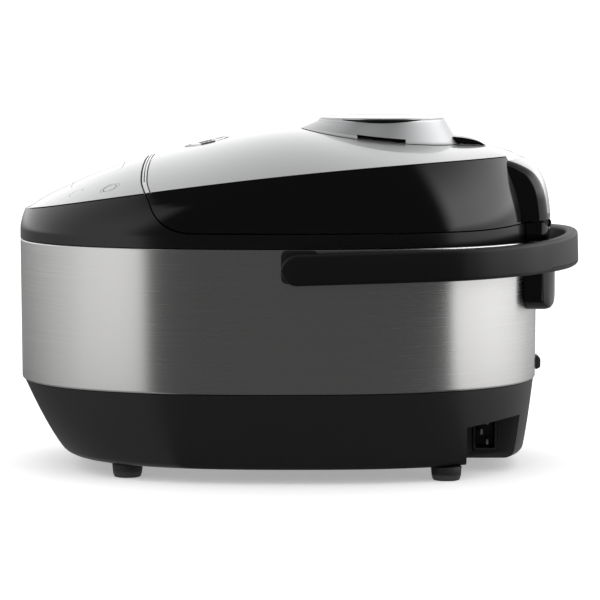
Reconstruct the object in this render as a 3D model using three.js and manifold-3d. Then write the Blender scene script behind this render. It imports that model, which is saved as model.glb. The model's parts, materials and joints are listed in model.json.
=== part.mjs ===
// Rice cooker with a hinged lid, a folding carrying handle and a sloping control console.
// Millimetres. +Z is up, the front of the cooker faces -Y, and the feet stand on z = 0.
import * as THREE from 'three';
import { mergeVertices } from 'three/addons/utils/BufferGeometryUtils.js';
import Module from 'manifold-3d';

const wasm = await Module();
wasm.setup();

// ---------------------------------------------------------------- driving dimensions

const gap = 0.35; // clearance left between neighbouring pieces
const planSteps = 36; // facets around the body

// Plan outlines are superellipses: half width, half length, centre along Y, and power.
const wallOutline = { halfX: 135.5, halfY: 179.4, centreY: -14.9, power: 2.45 };
const bandFootOutline = { halfX: 134.6, halfY: 178.8, centreY: -14.8, power: 2.45 };
const baseTopOutline = { halfX: 133.4, halfY: 177.4, centreY: -14.6, power: 2.45 };
const baseFootOutline = { halfX: 122.0, halfY: 156.0, centreY: -4.8, power: 2.6 };
const edgeOutline = { halfX: 118.0, halfY: 173.0, centreY: -17.8, power: 2.3 };

const baseBottom = 9.7; // underside of the casing, above the floor
const bandBottom = 61.6;
const bandTop = 158.3;
const shellWall = 2.6; // plastic casings
const bandWall = 1.0; // steel wrap

const seamZ = 167.9; // split between lid and housing, along the sides
const seamFrontY = -105.0; // split between console and lid, across the top
const trimWidth = 3.2;
const coverThickness = 1.6; // silver skins

const potCentreY = 24.0;
const potRadius = 108.0;
const potBottom = 45.0;
const potRim = 165.4;
const potWall = 1.6;

const hingeY = 169.0;
const hingeZ = 169.5;
const humpHalfWidth = 65.0;
const barrelReach = 36.0; // half width of the slot for the hinge knuckles

const handlePivotY = 0.0;
const handlePivotZ = 145.2;
const handleTilt = THREE.MathUtils.degToRad(1.7);
const handleHeight = 21.0;
const handleThickness = 8.4;
const gripHalfWidth = 92.0; // soft strip under the rear bar
const gripHeight = 3.2;

const capCentreY = 56.0;
const capFootRadius = 54.5;
const capTopRadius = 44.0;
const capTopZ = 240.4;

// ---------------------------------------------------------------- materials

function material(colour, roughness, metalness = 0) {
  return new THREE.MeshStandardMaterial({ color: colour, roughness, metalness });
}

const blackSatin = material(0x18181a, 0.45);
const blackGloss = material(0x0b0b0c, 0.12);
const blackRubber = material(0x101010, 0.85);
const silverGloss = material(0xd4d6d8, 0.18, 0.6);
const silverSatin = material(0xb9bbbd, 0.35, 0.7);
const brushedSteel = material(0xb4b4b2, 0.32, 1);
const chrome = material(0xe6e6e6, 0.08, 1);
const aluminium = material(0xa9abad, 0.4, 1);
const springSteel = material(0x8d8f92, 0.3, 1);
const potCoating = material(0x3a3a3c, 0.5, 0.3);
const displayGlass = material(0x1a2420, 0.08);
const boardGreen = material(0x1f5a35, 0.6);
const siliconeGrey = material(0x8a8c8e, 0.8);
const brass = material(0xb9a15a, 0.3, 1);
const innerPlastic = material(0x6f7174, 0.6);

// ---------------------------------------------------------------- solids

function solid(geometry) {
  const bare = geometry.clone();
  bare.deleteAttribute('normal');
  bare.deleteAttribute('uv');
  const merged = mergeVertices(bare, 1e-4);
  return new wasm.Manifold(new wasm.Mesh({
    numProp: 3,
    vertProperties: new Float32Array(merged.attributes.position.array),
    triVerts: new Uint32Array(merged.index.array),
  }));
}

function geometryOf(piece) {
  const mesh = piece.getMesh();
  const geometry = new THREE.BufferGeometry();
  geometry.setAttribute('position', new THREE.BufferAttribute(mesh.vertProperties, 3));
  geometry.setIndex(new THREE.BufferAttribute(mesh.triVerts, 1));
  geometry.computeVertexNormals();
  return geometry;
}

function moved(piece, x, y, z) {
  return piece.translate([x, y, z]);
}

function prism(points, depth, basis, origin) {
  const shape = new THREE.Shape(points.map(([a, b]) => new THREE.Vector2(a, b)));
  const geometry = new THREE.ExtrudeGeometry(shape, { depth, bevelEnabled: false });
  geometry.applyMatrix4(basis);
  geometry.translate(...origin);
  return solid(geometry);
}

const alongX = new THREE.Matrix4().makeBasis(
  new THREE.Vector3(0, 1, 0), new THREE.Vector3(0, 0, 1), new THREE.Vector3(1, 0, 0));
const alongZ = new THREE.Matrix4();

function prismX(pointsYZ, fromX, toX) {
  return prism(pointsYZ, toX - fromX, alongX, [fromX, 0, 0]);
}

function prismZ(pointsXY, fromZ, toZ) {
  return prism(pointsXY, toZ - fromZ, alongZ, [0, 0, fromZ]);
}

function box(lowX, highX, lowY, highY, lowZ, highZ) {
  const geometry = new THREE.BoxGeometry(highX - lowX, highY - lowY, highZ - lowZ);
  geometry.translate((lowX + highX) / 2, (lowY + highY) / 2, (lowZ + highZ) / 2);
  return solid(geometry);
}

function cylinderZ(x, y, radius, lowZ, highZ, steps = 16) {
  const geometry = new THREE.CylinderGeometry(radius, radius, highZ - lowZ, steps);
  geometry.rotateX(Math.PI / 2);
  geometry.translate(x, y, (lowZ + highZ) / 2);
  return solid(geometry);
}

function cylinderX(y, z, radius, lowX, highX, steps = 12) {
  const geometry = new THREE.CylinderGeometry(radius, radius, highX - lowX, steps);
  geometry.rotateZ(Math.PI / 2);
  geometry.translate((lowX + highX) / 2, y, z);
  return solid(geometry);
}

// A turned piece about a vertical axis. The profile is a closed loop of [radius, z],
// listed anticlockwise with the axis at the left.
function turned(x, y, profile, steps = 28) {
  const loop = [...profile, profile[0]].map(([radius, z]) => new THREE.Vector2(radius, z));
  const geometry = new THREE.LatheGeometry(loop, steps);
  geometry.rotateX(Math.PI / 2);
  geometry.translate(x, y, 0);
  return solid(geometry);
}

function superellipsePoint(outline, angle, inset = 0) {
  const cos = Math.cos(angle);
  const sin = Math.sin(angle);
  const reach = 2 / outline.power;
  return new THREE.Vector2(
    (outline.halfX - inset) * Math.sign(cos) * Math.abs(cos) ** reach,
    outline.centreY + (outline.halfY - inset) * Math.sign(sin) * Math.abs(sin) ** reach);
}

function ring(steps, place) {
  const points = [];
  for (let step = 0; step < steps; step += 1) {
    points.push(place((2 * Math.PI * step) / steps));
  }
  return points;
}

function outlineRing(outline, z, inset = 0) {
  return ring(planSteps, (angle) => {
    const point = superellipsePoint(outline, angle, inset);
    return new THREE.Vector3(point.x, point.y, z);
  });
}

// Joins rings of equal length, from the lowest to the highest, into one closed solid.
function loft(rings, bottomCentre = null, topCentre = null) {
  const steps = rings[0].length;
  const middle = (points) => points.reduce((sum, point) => sum.add(point), new THREE.Vector3())
    .divideScalar(points.length);
  const corners = [...rings.flat(), bottomCentre ?? middle(rings[0]), topCentre ?? middle(rings.at(-1))];
  const bottom = corners.length - 2;
  const top = corners.length - 1;
  const topRing = (rings.length - 1) * steps;
  const triangles = [];
  for (let step = 0; step < steps; step += 1) {
    const next = (step + 1) % steps;
    triangles.push(bottom, next, step, top, topRing + step, topRing + next);
    for (let level = 0; level < rings.length - 1; level += 1) {
      const low = level * steps;
      const high = low + steps;
      triangles.push(low + step, low + next, high + next, low + step, high + next, high + step);
    }
  }
  const geometry = new THREE.BufferGeometry().setFromPoints(corners);
  geometry.setIndex(triangles);
  return solid(geometry);
}

function roundedRectangle(halfA, halfB, radius, steps = 5) {
  const points = [];
  const corners = [[1, -1, -90], [1, 1, 0], [-1, 1, 90], [-1, -1, 180]];
  for (const [signA, signB, start] of corners) {
    for (let step = 0; step <= steps; step += 1) {
      const angle = THREE.MathUtils.degToRad(start + (90 * step) / steps);
      points.push([
        signA * (halfA - radius) + radius * Math.cos(angle),
        signB * (halfB - radius) + radius * Math.sin(angle),
      ]);
    }
  }
  return points;
}

function helix(x, y, lowZ, highZ, radius, wire, turns) {
  const points = [];
  const steps = turns * 7;
  for (let step = 0; step <= steps; step += 1) {
    const angle = (2 * Math.PI * turns * step) / steps;
    points.push(new THREE.Vector3(
      x + radius * Math.cos(angle),
      y + radius * Math.sin(angle),
      lowZ + wire + ((highZ - lowZ - 2 * wire) * step) / steps));
  }
  const section = new THREE.Shape().absarc(0, 0, wire, 0, 2 * Math.PI);
  return new THREE.ExtrudeGeometry(section, {
    steps,
    extrudePath: new THREE.CatmullRomCurve3(points),
    bevelEnabled: false,
    curveSegments: 2,
  });
}

// ---------------------------------------------------------------- the domed top

// Height of the top along the middle of the cooker, from the front edge to the hinge.
const crownLine = new THREE.SplineCurve([
  [-192, 176], [-181, 184.2], [-168, 190.8], [-151, 198.6], [-126, 208.3], [-105, 214.6],
  [-80, 220.4], [-42, 228.6], [0, 233.4], [35, 231.8], [75, 227.2], [110, 222.8],
  [136, 220.6], [162, 211],
].map(([y, z]) => new THREE.Vector2(y, z))).getPoints(90);

function crownHeight(y) {
  const after = crownLine.findIndex((point) => point.x >= y);
  if (after <= 0) {
    return after === 0 ? crownLine[0].y : crownLine.at(-1).y;
  }
  const low = crownLine[after - 1];
  const high = crownLine[after];
  return low.y + ((high.y - low.y) * (y - low.x)) / (high.x - low.x);
}

// Height of the line where the silver skins meet the black side walls.
function edgeHeight(y) {
  return 206.7 + 0.1009 * y - 0.000232 * y * y;
}

function topHeight(x, y) {
  const along = Math.min(1, Math.abs(y - edgeOutline.centreY) / edgeOutline.halfY);
  const halfWidth = edgeOutline.halfX * (1 - along ** edgeOutline.power) ** (1 / edgeOutline.power);
  const across = halfWidth > 1e-6 ? Math.min(1, Math.abs(x) / halfWidth) : 1;
  return crownHeight(y) - (crownHeight(y) - edgeHeight(y)) * across ** 2.2;
}

// The whole upper body as one solid, from the band to the top. The inset makes it thinner.
function upperEnvelope(inset, bottomZ) {
  const rings = [outlineRing(wallOutline, bottomZ, inset), outlineRing(wallOutline, 165, inset)];
  for (const rise of [0.4, 0.75, 1]) {
    rings.push(ring(planSteps, (angle) => {
      const wall = superellipsePoint(wallOutline, angle, inset);
      const edge = superellipsePoint(edgeOutline, angle, inset);
      const place = wall.lerp(edge, rise ** 1.7);
      const edgeY = superellipsePoint(edgeOutline, angle).y;
      const height = THREE.MathUtils.lerp(165, edgeHeight(edgeY) - inset, rise);
      return new THREE.Vector3(place.x, place.y, height);
    }));
  }
  for (const scale of [0.88, 0.66, 0.4, 0.16]) {
    rings.push(ring(planSteps, (angle) => {
      const edge = superellipsePoint(edgeOutline, angle);
      const x = edge.x * scale;
      const y = edgeOutline.centreY + (edge.y - edgeOutline.centreY) * scale;
      return new THREE.Vector3(x, y, topHeight(x, y) - inset);
    }));
  }
  const summit = topHeight(0, edgeOutline.centreY) - inset;
  return loft(rings, null, new THREE.Vector3(0, edgeOutline.centreY, summit));
}

// The hump over the hinge: its side profile, shrunk towards its ends for a domed crown.
function humpEnvelope(inset) {
  const profile = [
    [96, 160], [172.5, 160], [173.5, 173], [172.6, 184], [171, 193], [168, 201.5], [162.5, 209],
    [155, 213.8], [146, 217.4], [134, 219.8], [96, 221.5],
  ];
  const halfWidth = humpHalfWidth - inset;
  const stations = [-1, -0.95, -0.8, -0.45, 0, 0.45, 0.8, 0.95, 1];
  const rings = stations.map((station) => {
    const shrink = 1 - 0.115 * Math.abs(station) ** 2.4 - 0.03 * Math.abs(station) ** 16;
    return profile.map(([y, z]) => new THREE.Vector3(
      station * halfWidth,
      120 + (y - 120) * shrink - inset,
      165 + (z - 165) * shrink - inset));
  });
  return loft(rings);
}

const upperOuter = upperEnvelope(0, bandTop + gap);
const upperInner = upperEnvelope(shellWall, bandTop - 4);
const humpOuter = humpEnvelope(0);

function lowered(depth) {
  return moved(upperOuter, 0, 0, -depth);
}

// Everything above the line where silver meets black, as a sheet pulled across the cooker.
function aboveEdge(drop) {
  const line = [];
  for (let y = -200; y <= 170; y += 10) {
    line.push([y, edgeHeight(y) - drop]);
  }
  return prismX([...line, [170, 300], [-200, 300]], -160, 160);
}

// Everything on the lid's side of the seam. The inset moves the seam into the lid.
function lidRegion(inset) {
  const seam = new THREE.Path();
  seam.moveTo(seamFrontY + inset, 300);
  seam.lineTo(seamFrontY + inset, 214);
  seam.lineTo(-100.5 + inset, 190);
  seam.quadraticCurveTo(-94 + inset, seamZ + inset, -70, seamZ + inset);
  seam.lineTo(105, seamZ + inset);
  seam.quadraticCurveTo(135, seamZ + inset, 156, 171.5 + inset);
  seam.lineTo(240, 176 + inset);
  seam.lineTo(240, 300);
  return prismX(seam.getPoints(8).map((point) => [point.x, point.y]), -170, 170);
}

const lidSide = lidRegion(0);
const silverHump = box(1.6 - humpHalfWidth, humpHalfWidth - 1.6, 126, 200, 177, 260);
const silverRegion = aboveEdge(0).add(silverHump);
const silverSeat = aboveEdge(gap).add(
  box(1.6 - gap - humpHalfWidth, humpHalfWidth - 1.6 + gap, 126 - gap, 200, 177 - gap, 260));

// ---------------------------------------------------------------- lower casing

function baseEnvelope(inset, bottomZ, topZ) {
  const levels = [0, 0.04, 0.12, 0.3, 0.55, 0.8, 1];
  const rings = levels.map((level) => {
    const spread = level ** 0.75;
    const rounding = 3.5 * Math.max(0, 1 - level / 0.12) ** 2;
    const z = THREE.MathUtils.lerp(bottomZ, topZ, level);
    return ring(planSteps, (angle) => {
      const foot = superellipsePoint(baseFootOutline, angle, inset + rounding);
      const head = superellipsePoint(baseTopOutline, angle, inset);
      const place = foot.lerp(head, spread);
      return new THREE.Vector3(place.x, place.y, z);
    });
  });
  return loft(rings);
}

const inletY = 126.4;
const inletZ = 27.5;
const inletFaceX = 58;

function inletRecess(margin) {
  const profile = [[112 - margin, 0], [112 - margin, 36.2 + margin], [140, 39.4 + margin], [190, 41 + margin],
    [190, 0]];
  return prismX(profile, inletFaceX - margin, 150);
}

const footPlaces = [['front_left', -79.5, -117], ['front_right', 79.5, -117], ['rear_left', -95, 98.5],
  ['rear_right', 95, 98.5]];
const coverRadius = 78;

function baseShell() {
  let shell = baseEnvelope(0, baseBottom, bandBottom - gap).subtract(
    baseEnvelope(shellWall, baseBottom + shellWall, bandBottom + 1));
  const pocket = inletRecess(shellWall).intersect(baseEnvelope(0.2, baseBottom, bandBottom));
  shell = shell.add(pocket).subtract(inletRecess(0));
  shell = shell.subtract(cylinderZ(0, potCentreY - 20, coverRadius + gap, 0, 20, 40));
  shell = shell.subtract(prismX(
    roundedRectangle(8.6, 12.4, 2).map(([a, b]) => [inletY + a, inletZ + b]), 40, 70));
  for (const [, x, y] of footPlaces) {
    shell = shell.add(cylinderZ(x, y, 7, baseBottom + 1, baseBottom + 6, 16));
  }
  return shell;
}

function bottomCover() {
  const centreY = potCentreY - 20;
  let cover = cylinderZ(0, centreY, coverRadius, baseBottom, baseBottom + 2.4, 40);
  for (let slot = 0; slot < 14; slot += 1) {
    const angle = (2 * Math.PI * slot) / 14;
    const geometry = new THREE.BoxGeometry(26, 4, 10);
    geometry.translate(46, 0, baseBottom);
    geometry.rotateZ(angle);
    geometry.translate(0, centreY, 0);
    cover = cover.subtract(solid(geometry));
  }
  return cover;
}

function bottomScrew(angle) {
  const x = 70 * Math.cos(angle);
  const y = potCentreY - 20 + 70 * Math.sin(angle);
  return turned(x, y, [[0, 7.6], [2.4, 7.6], [3.4, 8.4], [3.4, baseBottom - gap], [0, baseBottom - gap]], 10);
}

function foot(x, y) {
  return turned(x, y, [
    [0, 0], [8.2, 0], [9.3, 0.5], [9.8, 1.8], [10.5, baseBottom - gap], [0, baseBottom - gap],
  ], 16);
}

function steelBand() {
  const lip = 1.4;
  const outer = loft([
    outlineRing(bandFootOutline, bandBottom, lip), outlineRing(bandFootOutline, bandBottom + 0.5, lip * 0.4),
    outlineRing(bandFootOutline, bandBottom + 1.5), outlineRing(wallOutline, bandTop),
  ]);
  const inner = loft([
    outlineRing(bandFootOutline, bandBottom - 1, bandWall + 0.2),
    outlineRing(wallOutline, bandTop + 1, bandWall),
  ]);
  const pivotHole = cylinderX(handlePivotY, handlePivotZ, 4.4, -150, 150);
  return outer.subtract(inner).subtract(pivotHole);
}

function rearBumper() {
  const profile = [[162.6, 64.5], [167.2, 66], [168, 68], [168, 72], [167.2, 74], [162.6, 75.5]];
  return prismX(profile, -9, 9).subtract(wallBlock(gap));
}

// The band's outside as a plain block, for trimming what sits against it.
function wallBlock(margin) {
  return loft([
    outlineRing(bandFootOutline, bandBottom - 4, -margin), outlineRing(wallOutline, bandTop + 0.1, -margin),
  ]);
}

// ---------------------------------------------------------------- upper housing and console

const consoleKeys = [
  ['start_key', 81, -128, 6.2], ['cancel_key', -81, -128, 6.2],
  ['menu_key', 62, -152, 4.6], ['time_key', -62, -152, 4.6],
];

function windowPrism(margin) {
  const corners = roundedRectangle(38 - margin, 17.5 - margin, 4);
  return prismZ(corners.map(([x, y]) => [x, y - 139.5]), 150, 260);
}

function upperHousing() {
  const fixedPart = upperOuter.subtract(lidSide);
  const silverPart = aboveEdge(gap).subtract(lowered(coverThickness + gap));
  let housing = fixedPart.subtract(silverPart);
  const deckRegion = box(-160, 160, -99, 190, 100, 164);
  const consoleInside = box(-160, 160, -190, -102, 100, 260);
  const hollow = upperInner.intersect(lowered(3.6)).intersect(deckRegion.add(consoleInside));
  housing = housing.subtract(hollow);
  housing = housing.subtract(cylinderZ(0, potCentreY, potRadius + 5, 140, 175, 36));
  housing = housing.subtract(cylinderZ(0, potCentreY, potRadius + 9.5, potRim - 0.8, 175, 36));
  housing = housing.subtract(windowPrism(1.5));
  for (const [, x, y, radius] of consoleKeys) {
    housing = housing.subtract(cylinderZ(x, y, radius + 0.6, 150, 260, 16));
  }
  housing = housing.subtract(box(-8, 8, -108.9, -96.5, 175, 202));
  return housing;
}

function silverSkin() {
  return upperOuter.intersect(aboveEdge(0)).subtract(lowered(coverThickness));
}

function controlPanel() {
  let panel = silverSkin().subtract(lidRegion(-gap));
  panel = panel.subtract(windowPrism(-gap));
  for (const [, x, y, radius] of consoleKeys) {
    panel = panel.subtract(cylinderZ(x, y, radius + gap, 150, 260, 16));
  }
  return panel;
}

function displayWindow() {
  return windowPrism(0).intersect(upperOuter).subtract(lowered(coverThickness));
}

function consoleKey(x, y, radius) {
  return cylinderZ(x, y, radius, 150, 260, 16).intersect(moved(upperOuter, 0, 0, 0.15))
    .subtract(lowered(3.2));
}

function tiltedBoard(halfX, halfY, thickness, tilt, y, z) {
  const geometry = new THREE.BoxGeometry(2 * halfX, 2 * halfY, thickness);
  geometry.rotateX(tilt);
  geometry.translate(0, y, z);
  return solid(geometry);
}

function controlBoard() {
  return tiltedBoard(60, 22, 1.6, 0.42, -139, 180);
}

// ---------------------------------------------------------------- heating parts and pot

function innerWell() {
  const outer = potRadius + 6;
  return turned(0, potCentreY, [
    [88, 43.2], [outer, 43.2], [outer, 162.8], [outer - 1, 162.8], [outer - 1, 44.2], [88, 44.2],
  ], 36);
}

function heatingPlate() {
  return turned(0, potCentreY, [
    [18, 36], [84, 36], [85, 37], [85, 42], [82, potBottom - gap], [18, potBottom - gap],
  ], 36);
}

function heaterRing() {
  const geometry = new THREE.TorusGeometry(60, 3.6, 8, 30);
  geometry.translate(0, potCentreY, 36 - 3.6 - gap);
  return solid(geometry);
}

function thermalFuse() {
  return cylinderX(potCentreY - 36, 31.5, 3, -12, 12, 14);
}

function temperatureSensor() {
  return turned(0, potCentreY, [
    [0, 35.2], [3, 35.2], [3, 39], [15, 39], [15, 43.4], [13.8, potBottom - gap], [0, potBottom - gap],
  ], 20);
}

function sensorSpring() {
  return helix(0, potCentreY, 31.4, 38.6, 8, 0.8, 3);
}

function sensorBracket() {
  return turned(0, potCentreY, [[4, 29.4], [12.5, 29.4], [12.5, 31], [4, 31]], 16);
}

function innerPot() {
  const corner = [];
  const cornerRadius = 24;
  const wallAt = (offset) => {
    const points = [];
    for (let step = 0; step <= 4; step += 1) {
      const angle = (-Math.PI / 2) * (1 - step / 4);
      points.push([
        potRadius - cornerRadius + (cornerRadius - offset) * Math.cos(angle),
        potBottom + cornerRadius + (cornerRadius - offset) * Math.sin(angle),
      ]);
    }
    return points;
  };
  corner.push([0, potBottom], ...wallAt(0));
  corner.push([potRadius, potRim - 0.6], [potRadius + 8.6, potRim - 0.2], [potRadius + 9, potRim + 0.5],
    [potRadius + 8.4, potRim + 1.2], [potRadius - potWall + 0.6, potRim + 1.2],
    [potRadius - potWall, potRim]);
  corner.push(...wallAt(potWall).reverse(), [0, potBottom + potWall]);
  return turned(0, potCentreY, corner, 48);
}

function powerBoard() {
  return box(-52, 52, -150, -84, 20, 21.6);
}

// ---------------------------------------------------------------- lid

// The dome is cut down to the line of the hump, so that the top runs smoothly to the rear.
const aboveHump = prismX([
  [124, 222.6], [136, 220.6], [147, 216.9], [155, 213.4], [163, 208.5], [190, 190], [190, 300], [124, 300],
], -160, 160);
const lidOuter = upperOuter.subtract(aboveHump).add(humpOuter).intersect(lidRegion(0.5));
const innerOpening = potRadius + 4;

function skinInside(depth) {
  return lowered(depth).add(moved(humpEnvelope(depth * 0.3), 0, -depth * 0.7, -depth * 0.7));
}

function steamTubeHole(radius) {
  return cylinderZ(0, capCentreY, radius, 150, 260, 20);
}

function buttonPrism(margin) {
  return loft([0, 1].map((level) => ring(24, (angle) => new THREE.Vector3(
    (19 - margin) * Math.cos(angle), -65 + (15 - margin) * Math.sin(angle), 150 + 110 * level))));
}

function hingeClearance(radius) {
  return cylinderX(hingeY, hingeZ, radius, -barrelReach, barrelReach, 12);
}

function lidBody() {
  let body = lidOuter.subtract(silverSeat.subtract(skinInside(coverThickness + gap)));
  const trimSlab = box(-160, 160, -110, seamFrontY + trimWidth + gap, 150, 260);
  body = body.subtract(trimSlab.intersect(aboveEdge(gap)).subtract(lowered(3)));
  const hollow = upperInner.subtract(box(-160, 160, -200, -97, 100, 300)).intersect(lowered(4.2));
  const humpHollow = humpEnvelope(3).intersect(box(-70, 70, 120, 190, 100, 215));
  body = body.subtract(hollow.add(moved(humpHollow, 0, -1.2, -1.2)));
  body = body.subtract(steamTubeHole(20)).subtract(buttonPrism(1.2));
  body = body.subtract(hingeClearance(5.8));
  body = body.subtract(box(-5.5, 5.5, -106, -96, 187.5, 195.5));
  return body;
}

function lidCover() {
  let cover = lidOuter.intersect(silverRegion).subtract(skinInside(coverThickness));
  cover = cover.subtract(box(-160, 160, -110, seamFrontY + trimWidth + gap, 150, 260));
  return cover.subtract(steamTubeHole(20)).subtract(buttonPrism(-gap));
}

function lidTrim() {
  const slab = box(-160, 160, -110, seamFrontY + trimWidth, 150, 260);
  return lidOuter.intersect(slab).intersect(aboveEdge(0)).subtract(lowered(2.4));
}

function buttonRing() {
  const raised = moved(upperOuter, 0, 0, 0.5);
  return buttonPrism(0).subtract(buttonPrism(2)).intersect(raised).subtract(lowered(1.2));
}

function releaseButton() {
  const cap = buttonPrism(2 + gap).intersect(moved(upperOuter, 0, 0, 0.2)).subtract(lowered(3));
  return cap.add(cylinderZ(0, -65, 4, 208, 222, 16));
}

function latchSpring() {
  return helix(0, -65, 202.4, 207.6, 3.4, 0.6, 3);
}

function latchHook() {
  const bar = box(-4.5, 4.5, -103.6, -58, 189, 193.8);
  const tower = box(-4.5, 4.5, -70, -58, 189, 201.8);
  return bar.add(tower);
}

function latchKeeper() {
  const plate = box(-7.5, 7.5, -108.5, -107.3, 176, 200);
  return plate.add(box(-7.5, 7.5, -108.5, -104.4, 198.6, 200));
}

function lidLiner() {
  const plate = upperEnvelope(shellWall + gap, 150).intersect(box(-160, 160, -96.4, 146, 168.8, 171.2));
  return plate.intersect(lidRegion(1)).subtract(cylinderZ(0, potCentreY, innerOpening, 150, 190, 36));
}

function innerLid() {
  const outer = innerOpening - gap;
  return turned(0, potCentreY, [
    [0, 160.5], [84, 160.5], [92, 163.5], [96, 169.6], [outer, 169.6], [outer, 170.8], [95, 170.8],
    [91, 164.8], [83.4, 161.8], [0, 161.8],
  ], 36).subtract(cylinderZ(0, capCentreY, 9, 150, 180, 20));
}

function innerLidGasket() {
  return turned(0, potCentreY, [
    [97.5, 167.2], [106, 166.95], [111, 167.4], [111, 169.25], [97.5, 169.25],
  ], 36);
}

function steamTube() {
  return turned(0, capCentreY, [
    [7.5, 172], [24, 172], [24, 173.6], [9.5, 173.6], [9.5, 222], [7.5, 222],
  ], 16);
}

function lidHingeArm() {
  const barrels = [-14, 14].map((x) => cylinderX(hingeY, hingeZ, 4.4, x - 6, x + 6));
  const arms = [-14, 14].map((x) => prismX([
    [164.5, 170.5], [167.5, 173.8], [163.5, 177.5], [159, 186], [140, 186], [140, 183.5], [156, 183.5],
    [160.5, 175.5],
  ], x - 6, x + 6));
  const bridge = box(-20, 20, 139.9, 152, 183.5, 186);
  return barrels[0].add(barrels[1]).add(arms[0]).add(arms[1]).add(bridge).subtract(hingeClearance(2.6));
}

// ---------------------------------------------------------------- hinge, on the housing

function hingeBlock() {
  const profile = [[150, 158.9], [169, 158.9], [172, 160.5], [173.2, 163], [173.2, 168], [171, 171],
    [150, 171]];
  const plan = new THREE.Path();
  plan.moveTo(-62, 140);
  plan.lineTo(62, 140);
  plan.lineTo(62, 163);
  plan.quadraticCurveTo(61, 168.5, 50, 169.8);
  plan.quadraticCurveTo(0, 177.2, -50, 169.8);
  plan.quadraticCurveTo(-61, 168.5, -62, 163);
  let block = prismX(profile, -62, 62).intersect(
    prismZ(plan.getPoints(6).map((point) => [point.x, point.y]), 150, 180));
  block = block.subtract(cylinderX(hingeY, hingeZ, 5.8, -barrelReach, barrelReach, 16));
  block = block.subtract(prismX([
    [hingeY - 5.8, hingeZ], [190, hingeZ], [190, 190], [hingeY - 5.8, 190],
  ], -barrelReach, barrelReach));
  block = block.subtract(prismX([[166, 171.5], [172, 165], [190, 165], [190, 190], [166, 190]], -70, 70));
  for (const side of [-1, 1]) {
    block = block.add(cylinderX(hingeY, hingeZ, 4.4, side * 27.5 - 6.5, side * 27.5 + 6.5));
    block = block.add(box(side * 27.5 - 6.5, side * 27.5 + 6.5, 160, hingeY, 160, hingeZ - 3));
  }
  block = block.subtract(upperEnvelope(-gap, 100).subtract(lidRegion(0)));
  return block.subtract(hingeClearance(2.3));
}

function hingePin() {
  return cylinderX(hingeY, hingeZ, 2, -34.5, 34.5);
}

function hingeSpring() {
  const coil = helix(0, 0, -7.5, 7.5, 3.4, 0.6, 5);
  coil.rotateY(Math.PI / 2);
  coil.translate(0, hingeY, hingeZ);
  return coil;
}

// ---------------------------------------------------------------- steam vent cap

function capWall(inset) {
  const foot = (angle) => new THREE.Vector3(
    (capFootRadius - inset) * Math.cos(angle),
    capCentreY + (capFootRadius - inset) * Math.sin(angle),
    crownHeight(capCentreY + capFootRadius * Math.sin(angle)) - 3.4 * Math.cos(angle) ** 2 + 0.3);
  const top = (angle) => new THREE.Vector3(
    (capTopRadius - inset) * Math.cos(angle),
    capCentreY + 1 + (capTopRadius - inset) * Math.sin(angle), capTopZ - 2 - inset);
  const shoulder = (angle) => new THREE.Vector3(
    (capTopRadius - 1.2 - inset) * Math.cos(angle),
    capCentreY + 1 + (capTopRadius - 1.2 - inset) * Math.sin(angle), capTopZ - 0.4 - inset);
  const below = (angle) => foot(angle).lerp(top(angle), -0.8);
  return loft([ring(32, below), ring(32, top), ring(32, shoulder)]);
}

function lens(lowY, highY, lowZ, sag, thickness, fromX, toX) {
  const points = [];
  for (let step = 0; step <= 12; step += 1) {
    const along = step / 12;
    points.push([lowY + (highY - lowY) * along, lowZ - sag * Math.sin(Math.PI * along)]);
  }
  return prismX([...points, [highY, lowZ + thickness], [lowY, lowZ + thickness]], fromX, toX);
}

function steamCapShell() {
  let shell = capWall(0).subtract(capWall(2.2)).subtract(moved(upperOuter, 0, 0, 0.35));
  shell = shell.subtract(cylinderZ(0, capCentreY + 1, capTopRadius - 4, 200, 260, 36));
  for (const [fromX, toX] of [[30, 70], [-70, -30]]) {
    shell = shell.subtract(lens(capCentreY - 27, capCentreY + 27, capTopZ - 0.5, 1.9, 3, fromX, toX));
    shell = shell.subtract(lens(39, 72, 228.4, 3, 0.05, fromX, toX));
  }
  return shell;
}

function steamCapDisc() {
  return turned(0, capCentreY + 1, [
    [0, capTopZ], [41.6, capTopZ], [42.4, capTopZ + 0.5], [41.6, capTopZ + 1], [30, capTopZ + 1.7],
    [14, capTopZ + 2.1], [0, capTopZ + 2.2],
  ], 36);
}

function steamCapCore() {
  return turned(0, capCentreY + 1, [
    [11, 224.6], [34, 224.6], [38.5, 234], [38.5, capTopZ - gap], [11, capTopZ - gap],
  ], 40).subtract(moved(upperOuter, 0, 0, 0.35));
}

function steamCapTab() {
  const profile = [[100, 215], [130, 215], [130, 221.2], [124, 224.6], [116, 226.8], [108, 227.8], [100, 228]];
  return prismX(profile, -15, 15).subtract(capWall(-gap)).subtract(moved(upperOuter, 0, 0, 0.35));
}

// ---------------------------------------------------------------- condensate collector

const collectorHalfWidth = 65;
const collectorBottom = 111.5;
const collectorTop = 155.6;

function collectorBlock(inset) {
  const low = collectorBottom + inset;
  const side = new THREE.Path();
  side.moveTo(145, collectorTop + inset * 2);
  side.lineTo(145, low);
  side.lineTo(162, low);
  side.absarc(164.5 - inset, low + 12, 12, -Math.PI / 2, 0);
  side.lineTo(177.3 - inset, collectorTop + inset * 2);
  const depth = prismX(side.getPoints(6).map((point) => [point.x, point.y]), -80, 80);
  const half = collectorHalfWidth - inset;
  const plan = new THREE.Path();
  plan.moveTo(-half, 140);
  plan.lineTo(half, 140);
  plan.lineTo(half, 160);
  plan.quadraticCurveTo(half - 1, 170 - inset, half - 14, 173.5 - inset);
  plan.quadraticCurveTo(0, 181 - inset, 14 - half, 173.5 - inset);
  plan.quadraticCurveTo(1 - half, 170 - inset, -half, 160);
  const outline = prismZ(plan.getPoints(6).map((point) => [point.x, point.y]), 90, 190);
  return depth.intersect(outline);
}

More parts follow.
